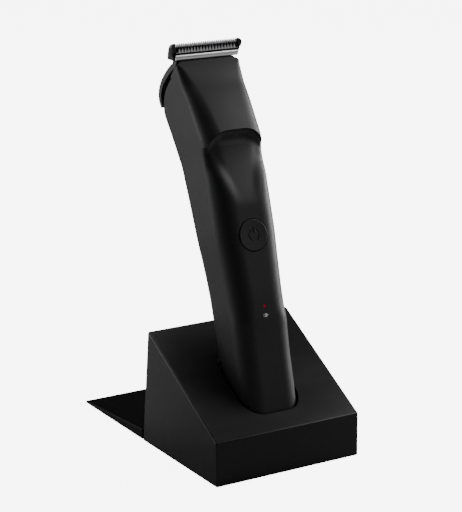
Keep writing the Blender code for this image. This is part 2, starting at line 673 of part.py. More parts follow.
def make_housing():
    hollow = body_loft("housing_hollow", HOLLOW_ROWS, -SHELL_WALL, HANDSET, None, inner=True)
    for number, z in enumerate(SHELL_SCREW_Z, 1):
        boss = cylinder(f"shell_boss_{number}", SHELL_BOSS_RADIUS, (0, front_at(z), z),
                        (0, back_at(z), z), HANDSET)
        combine(hollow, boss)
    cutters = [hollow]
    for number, z in enumerate(SHELL_SCREW_Z, 1):
        joint = front_at(z) + SHELL_SPLIT
        cutters.append(cylinder(f"shell_pilot_{number}", SHELL_SCREW_RADIUS + 0.2, (0, joint - 6, z),
                                (0, joint + 6, z), HANDSET, None, 24))
        cutters.append(cylinder(f"shell_sink_{number}", SCREW_HEAD_RADIUS + GAP, (0, joint + 4, z),
                                (0, back_at(z) + 4, z), HANDSET, None, 24))
    cutters.append(head_opening())
    cutters += head_shoulders()
    for side in (-1, 1):
        x = side * CONTACT_X
        cutters.append(cylinder(f"terminal_hole_{side + 2}", TERMINAL_RADIUS + GAP,
                                (x, CONTACT_Y, HANDSET_BOTTOM - 1), (x, CONTACT_Y, HANDSET_BOTTOM + 4),
                                HANDSET, None, 24))
    rim_room = front_at(BUTTON_Z) + SHELL_WALL + RIM_SETBACK - GAP
    front_cutters = [
        cylinder("button_hole", BUTTON_RADIUS + GAP, (0, -15, BUTTON_Z),
                 (0, front_at(BUTTON_Z) + 4, BUTTON_Z), HANDSET, None, 48),
        cylinder("button_rim_room", BUTTON_RADIUS + BUTTON_FLANGE + GAP, (0, rim_room, BUTTON_Z),
                 (0, rim_room + 3, BUTTON_Z), HANDSET, None, 48),
        box("led_hole", (-LED_SIZE / 2 - 0.2, -15, LED_Z - LED_SIZE / 2 - 0.2),
            (LED_SIZE / 2 + 0.2, front_at(LED_Z) + 4, LED_Z + LED_SIZE / 2 + 0.2), HANDSET)]
    for name, front_side, own in (("front_shell", True, front_cutters), ("rear_shell", False, [])):
        shell = body_loft(name, ROWS, 0, HANDSET, CHARCOAL)
        half = plate(f"{name}_side", split_outline(front_side), -30, 30, HANDSET)
        combine(shell, half, "INTERSECT")
        for cutter in cutters + own:
            if cutter.name.startswith("terminal_hole") and not front_side:
                continue
            combine(shell, cutter)


def head_opening():
    """Way through the top of the head for the cutter's carrier."""
    room = CARRIER_HALF_WIDTH + CUTTER_STROKE + 0.6
    outline = [(4.9, 147), (8.7, 156.6), (9.5, 160), (19, 160), (17.5, 147)]
    return plate("head_opening", outline, -room, room, HANDSET)


def head_shoulders():
    """What is cut off both top corners of the head, leaving them round."""
    steps = np.linspace(0, pi / 2, 8)
    top = float(FRONT[-1][0])
    cutters = []
    for side in (-1, 1):
        outline = [(SHOULDER_X - 1, top + 3), (SHOULDER_X - 1, top + 0.3)]
        outline += [(SHOULDER_X + SHOULDER_RADIUS * sin(a), top - SHOULDER_RADIUS * (1 - cos(a)))
                    for a in steps]
        outline += [(SHOULDER_X + 8, top - SHOULDER_RADIUS), (SHOULDER_X + 8, top + 3)]
        outline = [(side * x, z) for x, z in outline]
        cutters.append(plate(f"shoulder_{side + 2}", outline, -15, 40, HANDSET, None, "xz"))
    return cutters


# ---------------------------------------------------------------- handset contents

def make_button():
    face = front_at(BUTTON_Z) - BUTTON_PROUD
    inside = front_at(BUTTON_Z) + SHELL_WALL
    button = cylinder("power_button", BUTTON_RADIUS, (0, face, BUTTON_Z), (0, inside + 1, BUTTON_Z),
                      HANDSET, CHARCOAL, 48)
    round_edges(button, 0.3, 2)
    flange = cylinder("button_flange", BUTTON_RADIUS + BUTTON_FLANGE, (0, inside + RIM_SETBACK, BUTTON_Z),
                      (0, inside + RIM_SETBACK + RIM_THICKNESS, BUTTON_Z), HANDSET, None, 48)
    combine(button, flange, "UNION")
    bar = box("mark_bar", (-0.3, face - 1, BUTTON_Z + 0.7), (0.3, face + 0.3, BUTTON_Z + 3.2), HANDSET)
    combine(button, bar)
    for side, first in ((-1, 125), (1, -65)):
        steps = np.radians(np.linspace(first, first + 120, 13))
        outline = [(2.6 * cos(a), 2.6 * sin(a)) for a in steps]
        outline += [(2.0 * cos(a), 2.0 * sin(a)) for a in steps[::-1]]
        arc = plate(f"mark_arc_{side + 2}", outline, face - 1, face + 0.3, HANDSET, None, "xz",
                    (0, 0, BUTTON_Z))
        combine(button, arc)


def make_led():
    face = front_at(LED_Z)
    half = LED_SIZE / 2
    box("led_lens", (-half, face, LED_Z - half), (half, face + SHELL_WALL + 0.5, LED_Z + half),
        HANDSET, RED)


def switch_tip():
    return front_at(BUTTON_Z) + SHELL_WALL + RIM_SETBACK + RIM_THICKNESS + BUTTON_TRAVEL + GAP


def make_board():
    tip = switch_tip()
    back = tip + SWITCH_HEIGHT
    switch = box("tact_switch", (-3, tip + 0.6, BUTTON_Z - 3), (3, back, BUTTON_Z + 3), HANDSET, BLACK)
    plunger = cylinder("switch_plunger", 1.6, (0, tip, BUTTON_Z), (0, tip + 1, BUTTON_Z), HANDSET, None, 24)
    combine(switch, plunger, "UNION")
    face = back + GAP
    board = box("circuit_board", (-BOARD_HALF_WIDTH, face, BOARD_BOTTOM),
                (BOARD_HALF_WIDTH, face + BOARD_THICKNESS, BOARD_TOP), HANDSET, BOARD_GREEN)
    passage = cylinder("board_passage", SHELL_BOSS_RADIUS + 0.5, (0, face - 2, SHELL_SCREW_Z[1]),
                       (0, face + 3, SHELL_SCREW_Z[1]), HANDSET)
    combine(board, passage)


def battery_y():
    return back_at(BATTERY_BOTTOM) - SHELL_WALL - BATTERY_RADIUS - 0.4


def make_battery():
    y = battery_y()
    top = BATTERY_BOTTOM + BATTERY_LENGTH
    cylinder("battery_cell", BATTERY_RADIUS, (0, y, BATTERY_BOTTOM), (0, y, top), HANDSET, WRAP_BLUE, 40)
    box("battery_tab_top", (-3, y - 4, top + GAP), (3, y + 4, top + GAP + TAB_THICKNESS),
        HANDSET, STEEL)
    box("battery_tab_bottom", (-3, y - 4, BATTERY_BOTTOM - GAP - TAB_THICKNESS),
        (3, y + 4, BATTERY_BOTTOM - GAP), HANDSET, STEEL)


def motor_y():
    return back_at(MOTOR_BOTTOM) - SHELL_WALL - MOTOR_RADIUS - 0.4


def make_motor():
    y = motor_y()
    top = MOTOR_BOTTOM + MOTOR_LENGTH
    can = cylinder("motor_can", MOTOR_RADIUS, (0, y, MOTOR_BOTTOM), (0, y, top), HANDSET, MOTOR_METAL, 40)
    room = cylinder("motor_room", MOTOR_RADIUS - MOTOR_SKIN, (0, y, MOTOR_BOTTOM - 1),
                    (0, y, top - 1.2), HANDSET)
    hole = cylinder("motor_shaft_hole", SHAFT_RADIUS + GAP, (0, y, top - 3), (0, y, top + 1),
                    HANDSET, None, 24)
    combine(can, room)
    combine(can, hole)
    cylinder("motor_end_cap", MOTOR_RADIUS, (0, y, MOTOR_BOTTOM - GAP - 2.5), (0, y, MOTOR_BOTTOM - GAP),
             HANDSET, BLACK, 40)
    low = top + GAP
    mount = body_loft("motor_mount", (low, low + 2), -SHELL_WALL - GAP, HANDSET, BLACK, inner=True)
    collar = cylinder("mount_hole", 2.5, (0, y, low - 1), (0, y, low + 3), HANDSET)
    combine(mount, collar)


def make_rotor():
    y = motor_y()
    top = MOTOR_BOTTOM + MOTOR_LENGTH
    cylinder("motor_shaft", SHAFT_RADIUS, (0, y, MOTOR_BOTTOM + 1), (0, y, SHAFT_TOP), HANDSET, STEEL, 24)
    armature = cylinder("motor_armature", MOTOR_RADIUS - MOTOR_SKIN - 0.6, (0, y, MOTOR_BOTTOM + 3),
                        (0, y, top - 3), HANDSET, COPPER)
    bore = cylinder("armature_bore", SHAFT_RADIUS + 0.15, (0, y, MOTOR_BOTTOM), (0, y, top),
                    HANDSET, None, 24)
    combine(armature, bore)
    disc_low = SHAFT_TOP - ECCENTRIC_DISC_HEIGHT + 0.5
    disc_high = disc_low + ECCENTRIC_DISC_HEIGHT
    cam = cylinder("eccentric_cam", ECCENTRIC_DISC_RADIUS, (0, y, disc_low), (0, y, disc_high),
                   HANDSET, NYLON)
    pin = cylinder("eccentric_pin", ECCENTRIC_PIN_RADIUS, (ECCENTRIC_OFFSET, y, disc_high - 0.4),
                   (ECCENTRIC_OFFSET, y, disc_high + ECCENTRIC_PIN_LENGTH), HANDSET, None, 24)
    seat = cylinder("eccentric_seat", SHAFT_RADIUS + 0.15, (0, y, disc_low - 1), (0, y, SHAFT_TOP + 0.15),
                    HANDSET, None, 24)
    combine(cam, pin, "UNION")
    combine(cam, seat)


def make_terminals():
    for side, word in ((-1, "left"), (1, "right")):
        x = side * CONTACT_X
        cylinder(f"charge_terminal_{word}", TERMINAL_RADIUS, (x, CONTACT_Y, HANDSET_BOTTOM),
                 (x, CONTACT_Y, HANDSET_BOTTOM + 3), HANDSET, GOLD, 24)
    low = HANDSET_BOTTOM + 3 + GAP
    box("terminal_board", (-7, CONTACT_Y - 1.7, low), (7, CONTACT_Y + 4.5, low + 0.9), HANDSET, BOARD_GREEN)
    board_face = switch_tip() + SWITCH_HEIGHT + GAP + BOARD_THICKNESS / 2
    for side, word, look in ((-1, "left", BLACK), (1, "right", RED)):
        x = side * 5.6
        run = [(x, CONTACT_Y, low + 1.7), (x, CONTACT_Y - 0.4, low + 5),
               (x, board_face, BOARD_BOTTOM - 6), (x, board_face, BOARD_BOTTOM - 0.4)]
        wire(f"charge_lead_{word}", run, WIRE_RADIUS, HANDSET, look)


def make_shell_screws():
    for number, z in enumerate(SHELL_SCREW_Z, 1):
        joint = front_at(z) + SHELL_SPLIT
        make_screw(f"shell_screw_{number}", SHELL_SCREW_RADIUS, SCREW_HEAD_RADIUS, SCREW_HEAD_HEIGHT,
                   (0, joint - 5.6, z), (0, joint + 4 + GAP, z), HANDSET)


# ---------------------------------------------------------------- blade unit

def make_fixed_blade():
    outline = [(0.8, 1.0), (6.2, 1.0), (1.35, 7.6), (1.15, 7.9), (0.8, 7.9)]
    half = COMB_WIDTH / 2
    span = half + COMB_GUARD
    blade = plate("fixed_blade", outline, -span, span, BLADES, DARK_STEEL)
    for side in (-1, 1):
        low, high = sorted((side * span, side * (half + 0.1)))
        guard = [(-GUARD_REACH, 4.4), (-GUARD_REACH, 7.2), (0.9 - GUARD_REACH, 7.9), (1.15, 7.9),
                 (1.35, 7.6), (3.4, 5), (3.4, 4.4)]
        combine(blade, plate(f"comb_guard_{side + 2}", guard, low, high, BLADES), "UNION")
        flare = [(half + 0.1, 0), (half + 0.1, 2.2), (span - 0.3, 6.4), (span - 0.1, 7.2),
                 (span - 0.5, 7.7), (span - 1.1, 7.95), (span - 1.1, 9), (span + 2, 9), (span + 2, 0)]
        flare = [(side * x, z) for x, z in flare]
        combine(blade, plate(f"comb_flare_{side + 2}", flare, -1, 9, BLADES, None, "xz"))
    pitch = COMB_WIDTH / COMB_TEETH
    slots = bmesh.new()
    for i in range(COMB_TEETH - 1):
        cube = bmesh.ops.create_cube(slots, size=1.0)["verts"]
        bmesh.ops.scale(slots, vec=Vector((COMB_SLOT, 8, 5)) * MM, verts=cube)
        x = -half + pitch * (i + 1)
        bmesh.ops.translate(slots, vec=Vector((x, 3, COMB_SLOT_FLOOR + 2.5)) * MM, verts=cube)
    cutter = add_object("comb_slots", finish_bmesh("comb_slots", slots, False), (0, 0, 0), BLADES)
    combine(blade, cutter)
    for side in (-1, 1):
        x = side * BLADE_SCREW_X
        hole = cylinder(f"blade_screw_hole_{side + 2}", 1.0, (x, 3, 0), (x, 3, 3.2), BLADES, None, 16)
        combine(blade, hole)


def make_cutter():
    half = CUTTER_WIDTH / 2
    toothed = half - CUTTER_STROKE - 0.1
    pitch = 2 * toothed / CUTTER_TEETH
    outline = [(half, 1.3), (-half, 1.3), (-half, 3.6)]
    for i in range(CUTTER_TEETH):
        left = -toothed + i * pitch
        outline += [(left + 0.06 * pitch, 3.6), (left + 0.4 * pitch, 5.9), (left + 0.6 * pitch, 5.9),
                    (left + 0.94 * pitch, 3.6)]
    outline += [(half, 3.6)]
    plate("moving_blade", outline[::-1], -0.4, CUTTER_THICKNESS - 0.4, CUTTER_SLIDE, STEEL, "xz")
    neck = [(1.15, 0.65), (1.15, -5.8), (-1.0, -6.3), (-2.7, -12.3), (1.7, -13.55), (3.4, -7.6),
            (3.2, 0.65)]
    carrier = plate("cutter_carrier", neck, -CARRIER_HALF_WIDTH, CARRIER_HALF_WIDTH, CUTTER_SLIDE,
                    NYLON)
    reach = ECCENTRIC_PIN_RADIUS + ECCENTRIC_OFFSET + CUTTER_STROKE + YOKE_CLEARANCE
    y = motor_y()
    pin_top = SHAFT_TOP + 0.5 + ECCENTRIC_PIN_LENGTH
    slot = box("yoke_slot", (-reach, y - 9, SHAFT_TOP - 2), (reach, y + 9, pin_top + 0.6), HANDSET)
    combine(carrier, slot)


def make_blade_holder():
    half = HOLDER_WIDTH / 2
    outside = [(1.3, 0.6), (4.6, 0.6), (4.6, -0.4), (6.3, -1.4), (7.5, -2.2), (9.8, -4.0), (12.4, -6.4),
               (14.5, -8.8), (16.0, -11.2), (16.8, -13.4), (17.0, -15.2), (16.8, -17.0), (16.1, -18.6),
               (14.9, -20.2)]
    inside = [(13.9, -19.7), (14.5, -17.9), (14.8, -16.0), (14.7, -14.2), (13.9, -12.0), (12.5, -9.9),
              (10.5, -7.8), (8.2, -5.7), (5.6, -3.7), (2.3, -1.4)]
    holder = plate("blade_holder", outside + inside, -half, half, BLADES, BLACK)
    room = CARRIER_HALF_WIDTH + CUTTER_STROKE + 0.6
    passage = box("carrier_passage", (-room, 0, -8), (room, 3.9, 2), BLADES)
    combine(holder, passage)
    for side in (-1, 1):
        x = side * BLADE_SCREW_X
        hole = cylinder(f"holder_hole_{side + 2}", 1.0, (x, 3, -3), (x, 3, 2), BLADES, None, 16)
        sink = cylinder(f"holder_sink_{side + 2}", 1.6, (x, 3, -4), (x, 3, -0.9), BLADES, None, 24)
        combine(holder, hole)
        combine(holder, sink)


def make_blade_screws():
    for side, word in ((-1, "left"), (1, "right")):
        x = side * BLADE_SCREW_X
        make_screw(f"blade_screw_{word}", 0.8, 1.3, 0.8, (x, 3, 3.0), (x, 3, -1.2), BLADES)


make_stand_shell()
make_stand_base()
make_feet()
make_stand_screws()
make_socket_liner()
make_contact_holder()
make_contacts()
make_stand_electronics()
make_housing()
make_button()
make_led()
make_board()
make_battery()
make_motor()
make_rotor()
make_terminals()
make_shell_screws()
make_fixed_blade()
make_cutter()
make_blade_holder()
make_blade_screws()
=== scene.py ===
# %% [markdown]
# # A cordless hair clipper in its charging stand
#
# The handset is moulded in matt charcoal plastic and leans back in a glossy black wedge.
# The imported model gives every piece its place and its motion. This lesson gives the pieces
# that show a finer surface, and gives each one the finish of its real material.
#
# Lengths are written in millimetres, and `MM` turns them into the metres that Blender uses.

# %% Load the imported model
from math import cos, hypot, pi, radians, sin, sqrt

import bpy
import numpy as np
from mathutils import Matrix, Vector
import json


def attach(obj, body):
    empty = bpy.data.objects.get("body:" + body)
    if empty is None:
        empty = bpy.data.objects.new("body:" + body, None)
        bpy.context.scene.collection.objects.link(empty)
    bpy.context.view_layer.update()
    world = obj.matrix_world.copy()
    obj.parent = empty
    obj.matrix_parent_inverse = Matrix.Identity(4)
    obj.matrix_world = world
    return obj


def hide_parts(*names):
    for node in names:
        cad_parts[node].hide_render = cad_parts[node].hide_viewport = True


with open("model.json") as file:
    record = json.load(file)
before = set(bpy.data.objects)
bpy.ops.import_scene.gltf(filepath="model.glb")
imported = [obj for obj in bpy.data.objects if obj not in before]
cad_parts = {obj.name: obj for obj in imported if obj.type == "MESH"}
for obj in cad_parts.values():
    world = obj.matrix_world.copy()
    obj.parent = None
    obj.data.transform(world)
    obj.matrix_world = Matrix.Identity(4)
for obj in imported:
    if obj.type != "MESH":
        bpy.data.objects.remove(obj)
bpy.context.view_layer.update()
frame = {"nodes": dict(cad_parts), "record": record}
nodes = frame["nodes"]
MM = 0.001

# %% [markdown]
# ## Two coordinate systems
#
# The handset is easiest to describe along its own axis, and so is its lean. Stand coordinates
# start at the front face, handset coordinates at the foot of the socket. Each piece is worked
# out in the one that suits it and then carried over, so its object can stay at the origin.

# %% From handset and stand coordinates to the model's
STAND_HALF = 33.0
STAND_DEPTH = 113.5
LEAN = radians(16.0)
SOCKET_Y, SOCKET_Z = 10.5, 6.5


def from_stand(points):
    """Moves y forward by half the stand's depth, which puts the model's middle at y = 0."""
    return (points - np.array((0, STAND_DEPTH / 2, 0))) * MM


def from_handset(points):
    """Turns points about x by the lean, to y cos + z sin and z cos - y sin, then moves them to the
    socket."""
    x, y, z = np.moveaxis(points, -1, 0)
    back = y * cos(LEAN) + z * sin(LEAN) + SOCKET_Y
    up = z * cos(LEAN) - y * sin(LEAN) + SOCKET_Z
    return from_stand(np.stack((x, back, up), -1))


print("handset axis", np.round(from_handset(np.array([[0, 0, 1.0]])) - from_handset(np.zeros((1, 3))), 6))

# %% [markdown]
# ## Meshes from whole arrays
#
# A shell can be pushed out of a cube by hand, or carved. Here every surface is a grid: rows of
# points with the same number of columns. That keeps the faces even, and one formula moves a
# whole array at once. Two helpers turn grids into meshes, and a third cuts one mesh with another.

# %% Grid helpers
def grid_faces(rows, columns):
    """Quads of a tube: each point joins the next in its row, and the last column joins the first."""
    row, column = np.meshgrid(np.arange(rows - 1), np.arange(columns), indexing="ij")
    after = (column + 1) % columns
    near, far = row * columns, (row + 1) * columns
    corners = (near + column, near + after, far + after, far + column)
    return np.stack(corners, -1).reshape(-1, 4)


def tube(name, grid):
    """Closed solid from a grid of rings, with one flat face at each end."""
    rows, columns = grid.shape[:2]
    faces = grid_faces(rows, columns).tolist()
    faces += [list(range(columns))[::-1], list(range((rows - 1) * columns, rows * columns))]
    return solid(name, grid.reshape(-1, 3), faces)


def solid(name, points, faces):
    """Object at the origin from points in metres. A negative volume means that its faces point
    inwards, so they are flipped."""
    mesh = bpy.data.meshes.new(name)
    mesh.from_pydata(points.tolist(), [], faces)
    mesh.update()
    mesh.calc_loop_triangles()
    corner = np.empty(3 * len(mesh.loop_triangles), np.int64)
    mesh.loop_triangles.foreach_get("vertices", corner)
    a, b, c = np.moveaxis(np.asarray(points)[corner.reshape(-1, 3)], 1, 0)
    if np.einsum("ij,ij->i", a, np.cross(b, c)).sum() < 0:
        mesh.flip_normals()
    piece = bpy.data.objects.new(name, mesh)
    bpy.context.scene.collection.objects.link(piece)
    return piece


def settle(piece):
    """Writes what the modifiers show into the mesh and removes them."""
    graph = bpy.context.evaluated_depsgraph_get()
    done = bpy.data.meshes.new_from_object(piece.evaluated_get(graph))
    piece.modifiers.clear()
    piece.data = done


def cut(piece, *tools):
    """Takes each tool away from the piece, then removes the tool."""
    for tool in tools:
        change = piece.modifiers.new("cut", "BOOLEAN")
        change.operation = "DIFFERENCE"
        change.object = tool
        settle(piece)
        bpy.data.objects.remove(tool)
    return piece


def smooth(piece, angle):
    """Smooth shading, with every edge that turns by more than the angle left sharp."""
    piece.data.shade_smooth()
    piece.data.set_sharp_from_angle(angle=radians(angle))
    print(piece.name, len(piece.data.polygons), "faces")
    return piece


# %% [markdown]
# ## Tools for holes
#
# Bosses, bores and openings are cut with plain solids that are thrown away. A round tool is a
# circle carried along a line, and a flat tool is an outline carried straight across.

# %% Round and flat tools
def round_tool(radius, start, end, place, sides):
    """Circle of that radius at both ends: end + radius (across cos a + up sin a), with across and up
    square to the run."""
    start, end = np.array(start, float), np.array(end, float)
    run = (end - start) / np.linalg.norm(end - start)
    across = np.cross(run, (0, 0, 1) if abs(run[2]) < 0.9 else (0, 1, 0))
    across /= np.linalg.norm(across)
    angle = np.linspace(0, 2 * pi, sides, endpoint=False)[:, None]
    up = np.cross(run, across)
    ring = radius * (np.cos(angle) * across + np.sin(angle) * up)
    return tube("round_tool", place(np.stack((start + ring, end + ring))))


def flat_tool(outline, low, high, place, plane="yz"):
    """Outline in the yz or xz plane, carried from low to high along the axis that is left."""
    outline = np.array(outline, float)
    order = (2, 0, 1) if plane == "yz" else (0, 2, 1)
    rings = [np.column_stack((outline, np.full(len(outline), at)))[:, order] for at in (low, high)]
    return tube("flat_tool", place(np.stack(rings)))


# %% [markdown]
# ## The handset's surface
#
# The real shell is moulded: a rounded rectangle that swells, bends forward at the head and
# sinks into a thumb rest under a curved ledge. It could be sculpted, but then no two edits
# agree. A loft is better. Short tables say where its front and back lie and how round its
# corners are at a few heights, and a smooth curve through each table fills in the rest.

# %% Tables along the handset
WIDTH = 27.0
WALL = 1.8
SPLIT = 9.0
ARCH_START, ARCH_DROP = 2.0, 7.0
CROWN = 0.7
SCOOP_START, SCOOP_DEPTH, SCOOP_FADE = 97.0, 3.9, 8.0
LIP_START, LIP_Z = 122.5, 127.5
HEAD_TOP = 157.4
JOINT_GAP = 0.004
BUTTON_Z, BUTTON_RADIUS, BUTTON_PROUD = 85.2, 6.3, 0.25
LED_Z, LED_SIZE = 56.9, 1.1
FRONT = ((6, -3.5), (6.5, -4.4), (8, -5.1), (11, -5.6), (15, -5.95), (24, -6.6), (38, -7.1),
         (46, -7.8), (53, -8.5), (60, -8.5), (85, -8.15), (100, -8.1), (115, -8.2), (121.5, -8.2),
         (124.5, -7.8), (127.5, -6.8), (131, -5.4), (135, -3.9), (139.5, -2.0), (143, -0.3),
         (147.5, 2.2), (152, 4.4), (154.3, 5.6), (157.4, 7.3))
BACK = ((6, 11.0), (6.5, 12.3), (8, 13.6), (11, 14.8), (15, 15.4), (24, 16.4), (38, 17.5),
        (53, 18.1), (64, 18.2), (75, 18.6), (90, 19.9), (103, 21.4), (116, 23.1), (125, 24.2),
        (130.5, 25.0), (136, 26.2), (139, 26.6), (141.5, 26.0), (144.8, 24.1), (146.8, 22.6),
        (150, 18.3), (152.8, 13.0), (155, 9.7), (156.3, 8.5), (157.4, 8.1))
WIDENING = ((6, -3.7), (6.5, -2.6), (8, -1.7), (11, -1.35), (15, -1.3), (60, -1.15), (75, -0.6),
            (88, 0.0), (115, 0.0), (131, 0.3), (140, 0.5), (150, 0.9), (157.4, 1.1))
FRONT_CORNER = ((6, 7), (50, 7), (58, 8), (110, 8), (125, 7), (135, 6.2), (145, 5), (154, 2.5))
BACK_CORNER = ((6, 8), (115, 8), (122, 6.5), (131, 4.5), (141, 3), (156, 2.5))
THICKENING = ((97, 0), (109, 0.35), (115, 0.65), (119, 0.9), (122, 1), (127.4, 1), (127.5, 0.64),
              (131, 0.35), (135, 0.1), (139.5, 0))
SCOOP_REACH = ((97, 9), (110, 13), (118, 16), (124, 17.5))
CROWN_SHARE = ((95, 0), (125, 1), (146, 1), (155, 0.3))
ARCH_SHARE = ((97, 0), (109, 0.3), (115, 0.7), (119, 1), (131, 1), (135, 0.6), (141.5, 0.15),
              (146, 0))


def read(table, z):
    """Smooth curve through a table: in each span a cubic, whose slope at a station is the harmonic
    mean of the slopes of the spans beside it, or 0 where they differ in sign, so it never swings
    past the numbers given."""
    station, value = np.array(table, float).T
    span = np.diff(station)
    slope = np.diff(value) / span
    before, after = slope[:-1], slope[1:]
    both = before * after > 0
    inner = np.where(both, 2 * before * after / np.where(both, before + after, 1), 0)
    ends = np.concatenate((slope[:1], inner, slope[-1:]))
    z = np.clip(np.asarray(z, float), station[0], station[-1])
    k = np.clip(np.searchsorted(station, z, side="right") - 1, 0, len(span) - 1)
    t = (z - station[k]) / span[k]
    start = (1 + 2 * t) * (1 - t)**2 * value[k] + t * (1 - t)**2 * span[k] * ends[k]
    return start + t * t * (3 - 2 * t) * value[k + 1] + t * t * (t - 1) * span[k] * ends[k + 1]


print("front at the button", read(FRONT, BUTTON_Z), "back at the head", read(BACK, 139))

# %% [markdown]
# ## One ring of the handset
#
# A ring runs up one side wall, round a front corner, across the front and down the other side,
# or the same way round the back. The arch pulls rows down towards the sides near the ledge, and
# the scoop pushes the front in below it.

# %% Ring formula
def ring_path(corner_points, wall_points, front_points):
    """Walks a half ring from the left joint to the right one: wall, quarter circle, flat, quarter
    circle, wall. Each point gets its side, its share of the flat's run, its turn round the corner
    and its share up the wall."""
    turn = np.linspace(0, pi / 2, corner_points)
    wall = np.linspace(1, 0, wall_points, endpoint=False)
    flat = np.linspace(-1, 1, front_points + 2)[1:-1]
    none = np.zeros(front_points)
    upright = np.zeros(wall_points)
    one_side = np.ones(wall_points + corner_points)
    side = np.concatenate((-one_side, none, one_side))
    run = np.concatenate((0 * one_side, flat, 0 * one_side))
    angle = np.concatenate((upright, turn, none + pi / 2, turn[::-1], upright))
    reach = np.concatenate((wall, np.zeros(2 * corner_points + front_points), wall[::-1]))
    return side, run, angle, reach


def scoop(z):
    """Depth of the thumb rest, from 0 to 1: a slow smooth rise up the handset, times a quarter of
    an ellipse that turns steeply back to 0 at the lip."""
    rise = np.clip((z - SCOOP_START) / (LIP_START - SCOOP_START), 0, 1)
    turn = np.clip((z - LIP_START) / (LIP_Z - LIP_START), 0, 1)
    return rise**1.6 * (2.6 - 1.6 * rise) * np.sqrt(1 - turn**2)


def handset_points(rows, path, front, grow=0.0, inner=False, whole=False):
    """Points of half a rounded rectangle at each row. Round a corner x = side (half - r + r cos a)
    and y = face + r (1 - sin a) inwards; up the wall y goes on from there to the joint."""
    side, run, angle, reach = path
    z = np.asarray(rows, float)[:, None] + 0 * side

    def place(height):
        half = WIDTH / 2 + read(WIDENING, height) + grow
        low = read(FRONT, height) - grow
        if inner:
            low = low + SCOOP_DEPTH * read(THICKENING, height)
        high = read(BACK, height) + grow
        limit = np.minimum(0.48 * (high - low), half - 1)
        corner = read(FRONT_CORNER if front else BACK_CORNER, height) + grow
        radius = np.minimum(np.maximum(corner, 0.6), limit)
        joint = np.clip(read(FRONT, height) + SPLIT + (-JOINT_GAP if front else JOINT_GAP),
                        low + radius if front else low + 0.1, high - 0.1 if front else high - radius)
        if whole:
            joint = (low + high) / 2
        x = side * (half - radius + radius * np.cos(angle)) + run * (half - radius)
        rise = radius * (1 - np.sin(angle))
        y = low + rise if front else high - rise
        return x, y + reach * (joint - y), low, high

    x, y, low, high = place(z)
    if inner:
        return np.stack((x, y, z), -1)
    out = np.maximum(np.abs(x) - ARCH_START, 0) / (WIDTH / 2 - ARCH_START)
    share = 1 - np.clip((y - low) / (high - low), 0, 1)
    height = z - ARCH_DROP * read(ARCH_SHARE, z) * share * np.minimum(out, 1)**3
    x, y, low, high = place(height)
    if front:
        fade = np.clip((read(SCOOP_REACH, z) - np.abs(x)) / SCOOP_FADE, 0, 1)
        round_corner = np.clip(1 - (y - low) / SPLIT, 0, 1)
        y = y + SCOOP_DEPTH * scoop(z) * fade**2 * (3 - 2 * fade) * round_corner
        y = y + CROWN * read(CROWN_SHARE, z) * (2 * x / WIDTH)**2 * round_corner
    return np.stack((x, y, height), -1)


LIP_RUN = (LIP_Z - LIP_START) * np.sin(np.linspace(0, pi / 2, 22))
ROWS = np.concatenate((np.linspace(6, 8, 9), np.linspace(8, 15, 9)[1:],
                       np.linspace(15, SCOOP_START, 42)[1:], np.linspace(SCOOP_START, 121, 25)[1:],
                       np.linspace(121, LIP_START, 4)[1:], LIP_START + LIP_RUN[1:],
                       np.linspace(LIP_Z, 130, 9)[1:], np.linspace(130, HEAD_TOP, 38)[1:]))
OUTER_PATH = ring_path(15, 10, 21)
print("rows", len(ROWS), "columns", len(OUTER_PATH[0]))

# %% [markdown]
# ## Front and rear shells
#
# On the real handset two moulded shells meet along the sides and leave a hollow for the
# battery and the motor. Each one here is a closed half, with the hollow, the screw bosses, the
# bores and the head's opening cut away, so its wall has a real thickness at every edge.

# %% Build the two shells
SCREW_Z = (14.0, 74.0)
CONTACT_X, CONTACT_Y = 4.0, -0.5
SHOULDER_X, SHOULDER_RADIUS = 11.3, 3.4
BOSS_RADIUS, PILOT_RADIUS, HEAD_RADIUS, CONTACT_RADIUS = 3.3, 1.2, 2.4, 1.6
HOLLOW_ROWS = (8, 11, 15, 24, 38, 53, 60, 75, 88, 97, 103, 109, 115, 119, 122, 127.5, 131, 135, 139,
               141.5, 144.8, 146.8, 148.5)
HEAD_OUTLINE = ((4.9, 147), (8.7, 156.6), (9.5, 160), (19, 160), (17.5, 147))


def whole_rings(rows, path, grow, inner=False):
    """Whole rings: the front half, then the back half walked the other way without its two shared
    points."""
    front = handset_points(rows, path, True, grow, inner, whole=True)
    back = handset_points(rows, path, False, grow, inner, whole=True)
    return np.concatenate((front, back[:, -2:0:-1]), axis=1)


def hollow_tool():
    tool = tube("hollow", from_handset(whole_rings(HOLLOW_ROWS, ring_path(6, 3, 3), -WALL, True)))
    for z in SCREW_Z:
        cut(tool, round_tool(BOSS_RADIUS, (0, read(FRONT, z), z), (0, read(BACK, z), z), from_handset, 32))
    return tool


def shoulder_tools():
    """Top corners of the head: outside x = a + r sin t, top - r (1 - cos t) everything is cut away."""
    turn = np.linspace(0, pi / 2, 16)
    top = FRONT[-1][0]
    across = SHOULDER_X + SHOULDER_RADIUS * np.sin(turn)
    up = top - SHOULDER_RADIUS * (1 - np.cos(turn))
    inside, outside = SHOULDER_X - 1, SHOULDER_X + 8
    outline = [(inside, top + 0.3), *zip(across, up), (outside, up[-1]), (outside, top + 3),
               (inside, top + 3)]
    return [flat_tool([(way * x, z) for x, z in outline], -15, 40, from_handset, "xz") for way in (-1, 1)]


shown = {}


def dress(piece, body, replaced, slot, finish=None):
    """Says which body the piece moves with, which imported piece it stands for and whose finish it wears."""
    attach(piece, body)
    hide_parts(replaced)
    shown[piece.name] = finish or slot
    return piece


